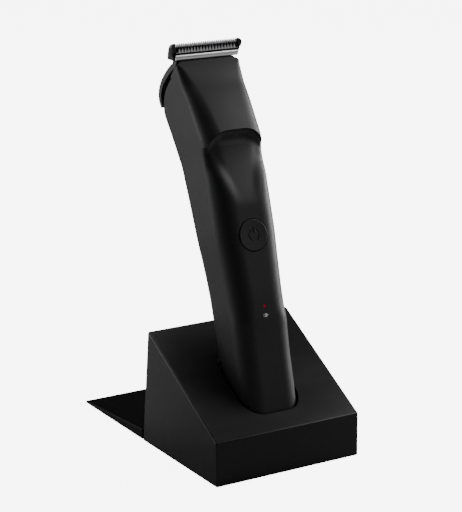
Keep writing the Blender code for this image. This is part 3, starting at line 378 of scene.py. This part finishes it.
def build_shell(name, front):
    shell = tube("handset_" + name, from_handset(handset_points(ROWS, OUTER_PATH, front)))
    tools = [hollow_tool(), flat_tool(HEAD_OUTLINE, -6, 6, from_handset), *shoulder_tools()]
    for z in SCREW_Z:
        joint = read(FRONT, z) + SPLIT
        tools.append(round_tool(PILOT_RADIUS, (0, joint - 6, z), (0, joint + 6, z), from_handset, 24))
        behind = read(BACK, z) + 4
        tools.append(round_tool(HEAD_RADIUS, (0, joint + 4, z), (0, behind, z), from_handset, 48))
    if front:
        for x in (-CONTACT_X, CONTACT_X):
            start, end = (x, CONTACT_Y, 5), (x, CONTACT_Y, 10)
            tools.append(round_tool(CONTACT_RADIUS, start, end, from_handset, 32))
        button_room = BUTTON_RADIUS + 0.3
        tools.append(round_tool(button_room, (0, -15, BUTTON_Z), (0, -4, BUTTON_Z), from_handset, 96))
        half = LED_SIZE / 2 + 0.15
        low, high = LED_Z - half, LED_Z + half
        window = [(-half, low), (half, low), (half, high), (-half, high)]
        tools.append(flat_tool(window, -15, -4.5, from_handset, "xz"))
    cut(shell, *tools)
    return dress(smooth(shell, 38), "handset", name, "charcoal")


build_shell("front_shell", True)
build_shell("rear_shell", False)

# %% [markdown]
# ## The power button
#
# A round key with a shallow dish and a power mark pressed into it. The mark is a short bar
# between two arcs. Cutting it out leaves hard walls, so the face is one polar grid instead,
# and its height is a formula of the distance to the nearest stroke of the mark.

# %% Button surface
BUTTON_ROUND = 0.3
BAR_LOW, BAR_HIGH, ARC_RADIUS = 1.0, 2.9, 2.3
ARC_FROM, ARC_TO = 35, 155
STROKE_HALF, STROKE_EDGE, STROKE_DEPTH = 0.2, 0.14, 0.22


def mark_distance(x, z):
    """Distance to the mark's strokes: to the bar's middle line, or to a circle where the angle lies
    in an arc."""
    bar = np.hypot(x, z - np.clip(z, BAR_LOW, BAR_HIGH))
    away = np.degrees(np.abs(np.arctan2(x, z)))
    bend = radians(1) * (np.clip(ARC_FROM - away, 0, None) + np.clip(away - ARC_TO, 0, None))
    ring = np.hypot(np.hypot(x, z) - ARC_RADIUS, ARC_RADIUS * bend)
    return np.minimum(bar, ring)


def build_button():
    flat = BUTTON_RADIUS - BUTTON_ROUND
    rounded = flat + BUTTON_ROUND * np.sin(np.linspace(0.1, pi / 2, 6))
    radius = np.concatenate((np.linspace(0.02, flat, 70), rounded))
    angle = np.linspace(0, 2 * pi, 192, endpoint=False)
    r, a = np.meshgrid(radius, angle, indexing="ij")
    x, z = r * np.sin(a), r * np.cos(a)
    edge = np.clip((r - flat) / BUTTON_ROUND, 0, 1)
    groove = 1 - np.clip((mark_distance(x, z) - STROKE_HALF) / STROKE_EDGE, 0, 1)
    dish = 0.12 * (1 - (r / BUTTON_RADIUS)**2)
    face = read(FRONT, BUTTON_Z) - BUTTON_PROUD
    pressed = STROKE_DEPTH * groove**2 * (3 - 2 * groove)
    y = face + dish + pressed + BUTTON_ROUND * (1 - np.sqrt(1 - edge**2))
    rows = [np.stack((x, y, BUTTON_Z + z), -1)]
    inside = face + BUTTON_PROUD + WALL
    wide = BUTTON_RADIUS + 1.1
    for reach, depth in ((BUTTON_RADIUS, inside + 0.6), (wide, inside + 0.6), (wide, inside + 1.5)):
        x, z = reach * np.sin(angle), BUTTON_Z + reach * np.cos(angle)
        rows.append(np.stack((x, np.full(angle.size, depth), z), -1)[None])
    button = smooth(tube("power_key", from_handset(np.concatenate(rows))), 50)
    return dress(button, "button", "power_button", "charcoal")


build_button()

# %% [markdown]
# ## The charge light and its plug sign
#
# A small square lens glows red, and a plug sign is printed below it. A print is a thin skin on
# the shell, so the sign is made of four outlines that stand 0.04 mm proud of the surface.

# %% Plug sign
SIGN_Z, SIGN_SCALE, SIGN_SKIN = 53.3, 0.95, 0.04


def build_sign():
    """Outlines in sign units: two prongs, a body whose right side is half an ellipse, and a cord."""
    turn = np.linspace(-pi / 2, pi / 2, 15)
    body = [(-0.35, -0.75), *zip(0.15 + 0.75 * np.cos(turn), 0.75 * np.sin(turn)), (-0.35, 0.75)]
    prongs = [[(-1.2, at - 0.13), (-0.3, at - 0.13), (-0.3, at + 0.13), (-1.2, at + 0.13)]
              for at in (-0.4, 0.4)]
    cord = [(0.8, -0.12), (1.5, -0.12), (1.5, 0.12), (0.8, 0.12)]
    points, faces = [], []
    for outline in (body, *prongs, cord):
        flat = np.array(outline)
        x, z = SIGN_SCALE * flat[:, 0], SIGN_Z + SIGN_SCALE * flat[:, 1]
        front = read(FRONT, z)
        start, count = sum(map(len, points)), len(flat)
        points += [np.stack((x, front - SIGN_SKIN, z), -1), np.stack((x, front + 0.2, z), -1)]
        faces.append(list(range(start, start + count)))
        faces.append(list(range(start + 2 * count - 1, start + count - 1, -1)))
        step = np.arange(count)
        after = (step + 1) % count
        faces += (start + np.stack((step, step + count, after + count, after), -1)).tolist()
    sign = solid("plug_sign", from_handset(np.concatenate(points)), faces)
    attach(sign, "handset")
    shown[sign.name] = "print"
    print("plug sign", len(sign.data.vertices), "points")


build_sign()

# %% [markdown]
# ## The wedge of the stand
#
# A box cut on a slant and bevelled would do, but a bevel on a Boolean often breaks. Instead the
# side view is a polygon whose corners are arcs, and it is carried across. Near each side the
# arcs shrink and the outline steps in, so every edge comes out with the same round.

# %% Wedge formula
FRONT_HEIGHT, BACK_HEIGHT, TOP_DEPTH, FOOT_DEPTH = 18.2, 49.2, 54.6, 60.7
LIFT, STAND_WALL = 0.3, 2.4
FLOOR_Z = 3.0
SCREW_ACROSS, SCREW_Y = STAND_HALF - 6.5, (9.0, 49.5)
STAND_BOSS_RADIUS, STAND_PILOT_RADIUS = 3.2, 1.4
INLET_RADIUS, INLET_Z = 4.3, 11.5


def rounded_bar(name, corners, half, radius, steps=6):
    """Centres of the corner arcs lie radius inside both edges. At turn t the outline has arcs of
    radius sin t about them and sits at x = half - radius (1 - cos t)."""
    corners = np.array(corners, float)
    edge = np.roll(corners, -1, axis=0) - corners
    edge /= np.linalg.norm(edge, axis=1)[:, None]
    normal = np.stack((edge[:, 1], -edge[:, 0]), -1)
    last = np.roll(normal, 1, axis=0)
    middle = corners - radius * (last + normal) / (1 + np.einsum("ij,ij->i", last, normal))[:, None]
    first = np.arctan2(last[:, 1], last[:, 0])
    sweep = (np.arctan2(normal[:, 1], normal[:, 0]) - first) % (2 * pi)
    angle = first[:, None] + sweep[:, None] * np.linspace(0, 1, steps)
    spoke = np.stack((np.cos(angle), np.sin(angle)), -1)
    turn = np.linspace(0.001, pi / 2, steps)
    size = np.concatenate((np.sin(turn), np.sin(turn[::-1]))) * radius
    x = half - radius + radius * np.cos(turn)
    x = np.concatenate((-x, x[::-1]))
    outline = (middle[:, None] + size[:, None, None, None] * spoke).reshape(len(size), -1, 2)
    grid = np.concatenate((np.broadcast_to(x[:, None, None], outline.shape[:2] + (1,)), outline), -1)
    return tube(name, from_stand(grid))


def wedge(inset, floor):
    """Side view of the wedge, from the front foot round, with its sloping and upright lines moved
    inwards."""
    run = FOOT_DEPTH - TOP_DEPTH
    slope = (BACK_HEIGHT - FRONT_HEIGHT) / TOP_DEPTH
    drop = inset * sqrt(1 + slope**2)
    shift = inset * hypot(run, BACK_HEIGHT) / BACK_HEIGHT
    lean = run / BACK_HEIGHT
    foot = FOOT_DEPTH - shift
    top = (FRONT_HEIGHT - drop + slope * foot) / (1 + slope * lean)
    return [(inset, floor), (foot - lean * floor, floor), (foot - lean * top, top),
            (inset, FRONT_HEIGHT - drop + slope * inset)]


def build_stand():
    stand = rounded_bar("stand_wedge", wedge(0, LIFT - 1), STAND_HALF, 0.8)
    under = flat_tool([(-5, -5), (70, -5), (70, LIFT), (-5, LIFT)], -40, 40, from_stand)
    inner = STAND_HALF - STAND_WALL
    hollow = flat_tool(wedge(STAND_WALL, -1), -inner, inner, from_stand)
    places = [(x, y) for y in SCREW_Y for x in (-SCREW_ACROSS, SCREW_ACROSS)]
    for x, y in places:
        cut(hollow, round_tool(STAND_BOSS_RADIUS, (x, y, FLOOR_Z), (x, y, 54), from_stand, 32))
    near, far = FOOT_DEPTH - 8, FOOT_DEPTH + 2
    sill = flat_tool([(near, -1), (far, -1), (far, FLOOR_Z), (near, FLOOR_Z)], -inner, inner, from_stand)
    mouth = tube("mouth", from_handset(whole_rings(np.linspace(12, 62, 26), ring_path(15, 4, 9), 1.2)))
    inlet = round_tool(INLET_RADIUS, (0, near, INLET_Z), (0, FOOT_DEPTH + 5, INLET_Z), from_stand, 64)
    pilots = [round_tool(STAND_PILOT_RADIUS, (x, y, 0), (x, y, 11.5), from_stand, 24) for x, y in places]
    cut(stand, under, hollow, sill, mouth, inlet, *pilots)
    return dress(smooth(stand, 30), "stand", "stand_shell", "gloss_black")


build_stand()

# %% [markdown]
# ## The blades
#
# A ground comb stands still and a thinner toothed cutter slides in front of it. Each could be a
# plate with slots cut out, but a cross-section carried across is cleaner: the section's height
# follows the teeth, so the whole blade is one closed surface with tapered tips.

# %% Comb and cutter
BLADE_Y, BLADE_Z = 61.3, 155.0
COMB_HALF, COMB_TEETH, GUARD_HALF = 14.5, 29, 16.2
COMB_FOOT, COMB_ROOT, COMB_SHOULDER, COMB_TIP = 1.0, 4.8, 7.3, 7.9
COMB_FRONT, COMB_BACK, COMB_SLOPE, COMB_THIN = 0.8, 6.2, 0.735, 1.1
COMB_GAP = 0.42
CUTTER_HALF, CUTTER_TEETH, STROKE = 14.3, 19, 0.9
CUTTER_ROOT, CUTTER_TIP = 4.3, 5.9


def from_blade(points):
    """Blade coordinates: y back from the cutter's middle and z up from its foot."""
    return from_stand(points + np.array((0, BLADE_Y, BLADE_Z)))


def steps_across(starts, offsets):
    """x of every column: each tooth's start plus the same few offsets."""
    return (starts[:, None] + np.array(offsets)).ravel()


def comb_section(x, top, guard):
    """Wedge cut off at each tooth's top, with y = 6.2 - 0.735 (z - 1) for its back. Where guard
    rises to 1 the foot rises with it, which flares the end, and the front steps forward above the
    cutter's bar."""
    foot = COMB_FOOT + 5.2 * guard**1.4
    step_foot = np.maximum(foot, 4.45)
    reach = np.where(guard > 0, 1.0, 0.0)
    ahead = []
    for z, out in ((foot, 0), (step_foot + 0.02, 0), (step_foot + 0.17, -0.9), (top - 0.3, -0.9),
                   (top, -0.5)):
        ahead.append(np.stack((x, COMB_FRONT + reach * out, z), -1))
    behind = []
    bend = np.maximum(foot, 4.6)
    for z in (top, 0.5 * (top + bend), bend, foot):
        back = np.maximum(COMB_BACK - COMB_SLOPE * (z - COMB_FOOT), COMB_THIN)
        behind.append(np.stack((x, back, z), -1))
    return np.stack(ahead + behind, 1)


def build_comb():
    pitch = 2 * COMB_HALF / COMB_TEETH
    left, right = COMB_GAP / 2, pitch - COMB_GAP / 2
    starts = -COMB_HALF + pitch * np.arange(COMB_TEETH)
    x = steps_across(starts, (left, left + 0.02, left + 0.16, right - 0.16, right - 0.02, right))
    tooth = (COMB_ROOT, COMB_SHOULDER, COMB_TIP, COMB_TIP, COMB_SHOULDER, COMB_ROOT)
    top = np.tile(tooth, COMB_TEETH)
    turn = np.linspace(0, pi / 2, 7)
    run = GUARD_HALF - COMB_HALF - 0.06
    ends = np.concatenate(((COMB_HALF + 0.04,), COMB_HALF + 0.06 + run * np.sin(turn)))
    guard_top = np.concatenate(((COMB_ROOT,), 6.9 + 1.05 * np.cos(turn)))
    x = np.concatenate((-ends[::-1], x, ends))
    top = np.concatenate((guard_top[::-1], top, guard_top))
    guard = np.clip((np.abs(x) - COMB_HALF - 0.04) / (GUARD_HALF - COMB_HALF - 0.04), 0, 1)
    comb = smooth(tube("comb_blade", from_blade(comb_section(x, top, guard))), 30)
    return dress(comb, "blade_unit", "fixed_blade", "dark_steel", "comb_steel")


def build_cutter():
    """Section with a polished bar at the foot, a groove above it, and a sawtooth edge at the top."""
    toothed = CUTTER_HALF - STROKE - 0.1
    pitch = 2 * toothed / CUTTER_TEETH
    starts = -toothed + pitch * np.arange(CUTTER_TEETH)
    x = steps_across(starts, (0.09 * pitch, 0.46 * pitch, 0.54 * pitch, 0.91 * pitch))
    top = np.tile((CUTTER_ROOT, CUTTER_TIP, CUTTER_TIP, CUTTER_ROOT), CUTTER_TEETH)
    x = np.concatenate(((-CUTTER_HALF, -toothed - 0.05), x, (toothed + 0.05, CUTTER_HALF)))
    flat = (CUTTER_ROOT, CUTTER_ROOT)
    top = np.concatenate((flat, top, flat))
    none = np.zeros_like(x)
    bulge = np.linspace(-1, 1, 9)
    bar = zip(-0.4 * np.sqrt(1 - 0.9 * bulge**2), 2.25 + 0.95 * bulge)
    front = [*bar, (0.0, 3.3), (0.0, 4.05), (-0.3, 4.15)]
    ring = [np.stack((x, none + y, none + z), -1) for y, z in front]
    ring += [np.stack((x, none - 0.3, top - 0.1), -1), np.stack((x, none + 0.1, top), -1),
             np.stack((x, none + 0.4, top), -1), np.stack((x, none + 0.4, none + 1.3), -1)]
    cutter = smooth(tube("saw_cutter", from_blade(np.stack(ring, 1))), 25)
    return dress(cutter, "cutter", "moving_blade", "steel", "cutter_steel")


build_comb()
build_cutter()

# %% [markdown]
# ## Shader sums in plain Python
#
# Blender's material maths is a web of Math nodes. A small class stands for one socket and adds
# those nodes when Python adds or multiplies it, so a finish reads like a formula. One method
# makes every other kind of node: first its settings, then the values or links of its sockets.

# %% Socket and finish classes
class Level:
    """One number socket of a material, such as a mask, that can be used in sums."""

    def __init__(self, finish, socket):
        self.finish, self.socket = finish, socket

    def sum(self, operation, *values):
        return self.finish.node("ShaderNodeMath", {"operation": operation}, dict(enumerate(values)))

    def __add__(self, other):
        return self.sum("ADD", self, other)

    def __sub__(self, other):
        return self.sum("SUBTRACT", self, other)

    def __rsub__(self, other):
        return self.sum("SUBTRACT", other, self)

    def __mul__(self, other):
        return self.sum("MULTIPLY", self, other)

    __radd__, __rmul__ = __add__, __mul__

    def between(self, low, high):
        """0 below low and 1 above high, with a smooth rise."""
        settings = {"interpolation_type": "SMOOTHSTEP", "clamp": True}
        return self.finish.node("ShaderNodeMapRange", settings, {0: self, 1: low, 2: high, 3: 0.0, 4: 1.0})


class Finish:
    """A material that starts as one Principled BSDF reading object coordinates in metres."""

    def __init__(self, name, colour, **uniform):
        self.material = bpy.data.materials.new(name)
        self.material.use_nodes = True
        self.tree = self.material.node_tree
        self.shader = self.tree.nodes["Principled BSDF"]
        self.place = self.node("ShaderNodeTexCoord", output="Object")
        self.set("Base Color", (*colour, 1.0))
        for socket, value in uniform.items():
            self.set(socket.replace("_", " "), value)

    def node(self, kind, settings=None, values=None, output=0):
        made = self.tree.nodes.new(kind)
        for key, value in (settings or {}).items():
            setattr(made, key, value)
        for key, value in (values or {}).items():
            self.connect(made.inputs[key], value)
        return Level(self, made.outputs[output])

    def connect(self, socket, value):
        if isinstance(value, Level):
            self.tree.links.new(value.socket, socket)
        else:
            socket.default_value = value

    def set(self, socket, value):
        self.connect(self.shader.inputs[socket], value)

    def noise(self, size, detail=2.0, stretch=(1, 1, 1)):
        """Noise with features about that many millimetres across, drawn out along an axis by stretch."""
        scale = tuple(1 / (size * MM * pull) for pull in stretch)
        spot = self.node("ShaderNodeMapping", {}, {"Vector": self.place, "Scale": scale})
        return self.node("ShaderNodeTexNoise", {}, {"Vector": spot, "Scale": 1.0, "Detail": detail})

    def colours(self, mask, dark, light):
        values = {0: mask, 6: (*dark, 1.0), 7: (*light, 1.0)}
        return self.node("ShaderNodeMix", {"data_type": "RGBA"}, values, output=2)

    def bump(self, height, depth, strength):
        """Tilts the surface as if the height, from 0 to 1, were that many millimetres."""
        values = {"Height": height, "Distance": depth * MM, "Strength": strength}
        self.set("Normal", self.node("ShaderNodeBump", {}, values))
        return self


finishes = {}

# %% [markdown]
# ## Matt charcoal shell
#
# Moulded plastic takes the fine spark-eroded grain of its tool. The grain is a fifth of a
# millimetre across and scatters light, so the shell looks soft. Handling polishes it a little in
# broad patches, which shows in the roughness.

# %% Charcoal finish
SHELL_DARK, SHELL_LIGHT = (0.012, 0.012, 0.0124), (0.017, 0.017, 0.0176)
charcoal = Finish("matt_charcoal", SHELL_DARK, Specular_IOR_Level=0.42, IOR=1.46)
grain = charcoal.noise(0.22, 3.0)
worn = charcoal.noise(14.0, 3.0).between(0.35, 0.7)
charcoal.set("Base Color", charcoal.colours(grain.between(0.3, 0.7), SHELL_DARK, SHELL_LIGHT))
charcoal.set("Roughness", 0.47 + 0.07 * grain - 0.035 * worn)
charcoal.bump(grain, 0.012, 0.6)
finishes["charcoal"] = charcoal

# %% [markdown]
# ## Gloss black stand
#
# The wedge is polished black plastic. It isn't a perfect mirror: a faint orange-peel waviness
# from moulding bends its reflections, and fine dust and wipe marks roughen them in places.

# %% Gloss finish
def stand_black(name, dark, light, shine):
    black = Finish(name, light, Specular_IOR_Level=shine, IOR=1.46)
    peel = black.noise(1.6, 2.0)
    dust = black.noise(0.12, 1.0).between(0.66, 0.78)
    wipes = black.noise(5.0, 4.0, (6, 1.5, 1)).between(0.45, 0.75)
    black.set("Base Color", black.colours(dust, dark, light))
    black.set("Roughness", 0.36 + 0.05 * wipes + 0.1 * dust)
    return black.bump(peel, 0.01, 0.35)


finishes["gloss_black"] = stand_black("gloss_black", (0.004, 0.004, 0.0041), (0.012, 0.012, 0.012), 0.34)
finishes["base_black"] = stand_black("base_black", (0.0015, 0.0015, 0.0016), (0.005, 0.005, 0.005), 0.12)

# %% [markdown]
# ## Steel, gold and copper
#
# Ground steel has scratches along the grinding direction, here across the blades. They are
# noise drawn out thirty times along x. The comb's teeth get a lit colour above painted shade on
# their foot, and darker guards at its ends, and the cutter gets painted shade in the groove over
# its bar. Masks of height and of the distance from the middle paint these bands, because they
# follow the shape.

# %% Metal finishes
def scratched_metal(name, light, rough, stretch):
    """Bare metal whose scratches show in its shine and its bump, and the pattern of the scratches."""
    metal = Finish(name, light, Metallic=1.0)
    scratches = metal.noise(0.09, 3.0, stretch)
    metal.set("Roughness", rough + 0.12 * scratches + 0.06 * metal.noise(3.0, 2.0))
    return metal.bump(scratches, 0.006, 0.5), scratches


def ground_metal(name, dark, light, rough, stretch=(30, 1, 1)):
    metal, scratches = scratched_metal(name, light, rough, stretch)
    metal.set("Base Color", metal.colours(scratches.between(0.25, 0.75), dark, light))
    return metal


def lit_and_shaded_metal(name, low, high, dark, light, half=None):
    """Steel with a lit colour above the height low and painted shade below. With high, the painted shade
    lies only from low to high and the rest is lit. With half, it is darker farther than that from the
    middle."""
    metal = scratched_metal(name, light, 0.26, (1, 1, 12))[0]
    across = metal.node("ShaderNodeSeparateXYZ", {}, {0: metal.place})
    up = Level(metal, across.socket.node.outputs["Z"])
    lit = up.between(low, low + 0.0002)
    if high:
        lit = 1 - lit * (1 - up.between(high, high + 0.0001))
    if half:
        lit = lit * (1 - across.sum("ABSOLUTE", across).between(half, half + 0.00004))
    metal.set("Base Color", metal.colours(lit, dark, light))
    return metal


finishes["steel"] = ground_metal("ground_steel", (0.50, 0.50, 0.51), (0.74, 0.74, 0.75), 0.2)
finishes["dark_steel"] = ground_metal("hardened_steel", (0.20, 0.20, 0.205), (0.36, 0.36, 0.365), 0.28)

# Comb: lit colour on the upper teeth, painted shade on the foot below them, and darker guards at the ends.
finishes["comb_steel"] = lit_and_shaded_metal("comb_steel", 0.1613, None, (0.055, 0.055, 0.056),
                                       (0.70, 0.70, 0.71), half=0.01452)
# Cutter: painted shade in the groove over its bar, with the bar and the teeth lit.
finishes["cutter_steel"] = lit_and_shaded_metal("cutter_steel", 0.1582, 0.1591, (0.02, 0.02, 0.021),
                                         (0.86, 0.86, 0.87))
finishes["gold"] = ground_metal("contact_gold", (0.72, 0.50, 0.18), (0.90, 0.70, 0.32), 0.18, (1, 1, 1))
finishes["copper"] = ground_metal("winding_copper", (0.42, 0.16, 0.07), (0.78, 0.36, 0.19), 0.28,
                                  (1, 1, 30))
finishes["motor_metal"] = ground_metal("motor_zinc", (0.42, 0.42, 0.43), (0.62, 0.62, 0.63), 0.3, (1, 1, 8))

# %% [markdown]
# ## Other plastics, rubber and the boards
#
# Plain mouldings differ mostly in colour, shine and how coarse their grain is, so one function
# makes them all. The board's copper tracks show through its green lacquer as raised stripes.

# %% Plain finishes
def moulded(name, dark, light, rough, size=0.3, depth=0.01, **uniform):
    plain = Finish(name, light, **uniform)
    speck = plain.noise(size, 3.0)
    cloud = plain.noise(size * 30, 2.0)
    plain.set("Base Color", plain.colours(cloud.between(0.3, 0.7), dark, light))
    plain.set("Roughness", rough + 0.1 * speck + 0.05 * cloud)
    return plain.bump(speck, depth, 0.6)


finishes["inner_black"] = moulded("inner_black", (0.010, 0.010, 0.010), (0.016, 0.016, 0.0165), 0.38,
                                  Specular_IOR_Level=0.4)
finishes["foot_rubber"] = moulded("foot_rubber", (0.014, 0.014, 0.014), (0.026, 0.026, 0.025),
                                  0.78, 0.5, 0.03, Specular_IOR_Level=0.3)
finishes["nylon"] = moulded("nylon", (0.52, 0.52, 0.49), (0.64, 0.64, 0.60), 0.42)
finishes["print"] = moulded("white_print", (0.50, 0.50, 0.50), (0.62, 0.62, 0.62), 0.5, 0.08, 0.004)
finishes["battery"] = moulded("battery_wrap", (0.02, 0.07, 0.24), (0.03, 0.11, 0.34), 0.3, 2.0, 0.03)
finishes["black_wire"] = moulded("black_wire", (0.010, 0.010, 0.010), (0.020, 0.020, 0.020), 0.4)
finishes["red_plastic"] = moulded("red_wire", (0.42, 0.012, 0.012), (0.62, 0.022, 0.022), 0.35)
finishes["red_lens"] = moulded("red_lens", (0.30, 0.003, 0.012), (0.42, 0.005, 0.02), 0.18, 0.2, 0.004,
                               Emission_Color=(0.9, 0.01, 0.08, 1.0), Emission_Strength=0.06)

green = Finish("board_green", (0.02, 0.12, 0.05), Specular_IOR_Level=0.5)
tracks = green.node("ShaderNodeTexWave", {"bands_direction": "DIAGONAL"},
                    {"Vector": green.place, "Scale": 160.0, "Distortion": 3.0, "Detail": 1.0}, output="Fac")
raised = tracks.between(0.55, 0.7)
green.set("Base Color", green.colours(raised, (0.010, 0.075, 0.030), (0.022, 0.15, 0.060)))
green.set("Roughness", 0.26 + 0.12 * green.noise(0.4))
finishes["board"] = green.bump(raised, 0.03, 0.6)

# %% Put each finish on its pieces
own = {"led_lens": "red_lens", "stand_base": "base_black"}
for part in frame["record"]["subparts"]:
    shown[part["node"]] = own.get(part["node"], part["material_slot"])
for name, finish in shown.items():
    piece = bpy.data.objects.get(name) or nodes[name]
    piece.data.materials.clear()
    piece.data.materials.append(finishes[finish].material)
print("pieces with a finish", len(shown), "finishes", len(finishes))

# %% [markdown]
# ## Floor and light
#
# A black object on a pale floor needs little light from the front, or it turns grey. Two long
# soft panels stand at its sides and draw the pale bands down the shell. A higher one stands at
# the front right, and a broad one hangs overhead. Floor and sky glow where the camera looks
# straight at them, so the backdrop is white and adds hardly any light.

# %% Floor, panels and sky
BACKDROP_GLOW = 7.0
FLOOR_REACH = 9.0


def soft_panel(name, at, towards, size, power):
    lamp = bpy.data.lights.new(name, "AREA")
    lamp.shape, lamp.size, lamp.size_y, lamp.energy = "RECTANGLE", size[0], size[1], power
    panel = bpy.data.objects.new(name, lamp)
    bpy.context.scene.collection.objects.link(panel)
    at, towards = Vector(at), Vector(towards)
    turn = (at - towards).to_track_quat("Z", "Y").to_matrix().to_4x4()
    panel.matrix_world = Matrix.Translation(at) @ turn


soft_panel("left_panel", (-0.80, 0.75, 0.28), (0, 0, 0.06), (0.5, 0.7), 6.4)
soft_panel("right_panel", (0.95, 0.05, 0.22), (0, 0, 0.10), (0.35, 0.6), 9.0)
soft_panel("high_panel", (0.78, -0.40, 0.78), (0, 0, 0.10), (0.6, 0.5), 6.0)
soft_panel("top_panel", (0.0, 0.38, 1.2), (0, 0, 0), (0.9, 0.7), 5.0)

floor_mesh = bpy.data.meshes.new("floor")
corners = [(FLOOR_REACH * x, FLOOR_REACH * y, 0) for x, y in ((-1, -1), (1, -1), (1, 1), (-1, 1))]
floor_mesh.from_pydata(corners, [], [(0, 1, 2, 3)])
floor = bpy.data.objects.new("floor", floor_mesh)
bpy.context.scene.collection.objects.link(floor)
pale = Finish("pale_floor", (0.45, 0.45, 0.45), Roughness=0.9, Specular_IOR_Level=0.1)
pale.set("Base Color", pale.colours(pale.noise(60.0, 2.0), (0.44, 0.44, 0.44), (0.46, 0.46, 0.46)))
seen = pale.node("ShaderNodeLightPath", output="Is Camera Ray")
pale.set("Emission Color", (1.0, 1.0, 1.0, 1.0))
pale.set("Emission Strength", BACKDROP_GLOW * seen)
floor_mesh.materials.append(pale.material)

world = bpy.data.worlds.new("studio")
bpy.context.scene.world = world
world.use_nodes = True
sky = world.node_tree.nodes["Background"]
sky.inputs["Color"].default_value = (1.0, 1.0, 1.0, 1.0)
seen_sky = world.node_tree.nodes.new("ShaderNodeLightPath")
glow = world.node_tree.nodes.new("ShaderNodeMath")
glow.operation = "MULTIPLY_ADD"
glow.inputs[1].default_value = BACKDROP_GLOW
glow.inputs[2].default_value = 0.03
world.node_tree.links.new(seen_sky.outputs["Is Camera Ray"], glow.inputs[0])
world.node_tree.links.new(glow.outputs[0], sky.inputs["Strength"])

# %% [markdown]
# ## The camera
#
# A long lens stands to the front left and looks a little down, so the wedge's lines stay nearly
# parallel. Its place and its three axes are written out, because the lens sees the object off
# centre and level lines lean by half a degree.

# %% Camera
AZIMUTH, ELEVATION, ROLL = radians(-30.576), radians(15.285), radians(-0.457)
lens = bpy.data.cameras.new("camera")
lens.sensor_fit = "VERTICAL"
lens.sensor_height = 36.0
lens.lens = 128.64
camera = bpy.data.objects.new("camera", lens)
bpy.context.scene.collection.objects.link(camera)
backwards = Vector((sin(AZIMUTH) * cos(ELEVATION), -cos(AZIMUTH) * cos(ELEVATION), sin(ELEVATION)))
level = Vector((cos(AZIMUTH), sin(AZIMUTH), 0))
upright = backwards.cross(level)
right = cos(ROLL) * level + sin(ROLL) * upright
up = cos(ROLL) * upright - sin(ROLL) * level
turned = Matrix((right, up, backwards)).transposed().to_4x4()
camera.matrix_world = Matrix.Translation((-0.362002, -0.625765, 0.272532)) @ turned
bpy.context.scene.camera = camera
print("camera at", [round(v, 3) for v in camera.location])
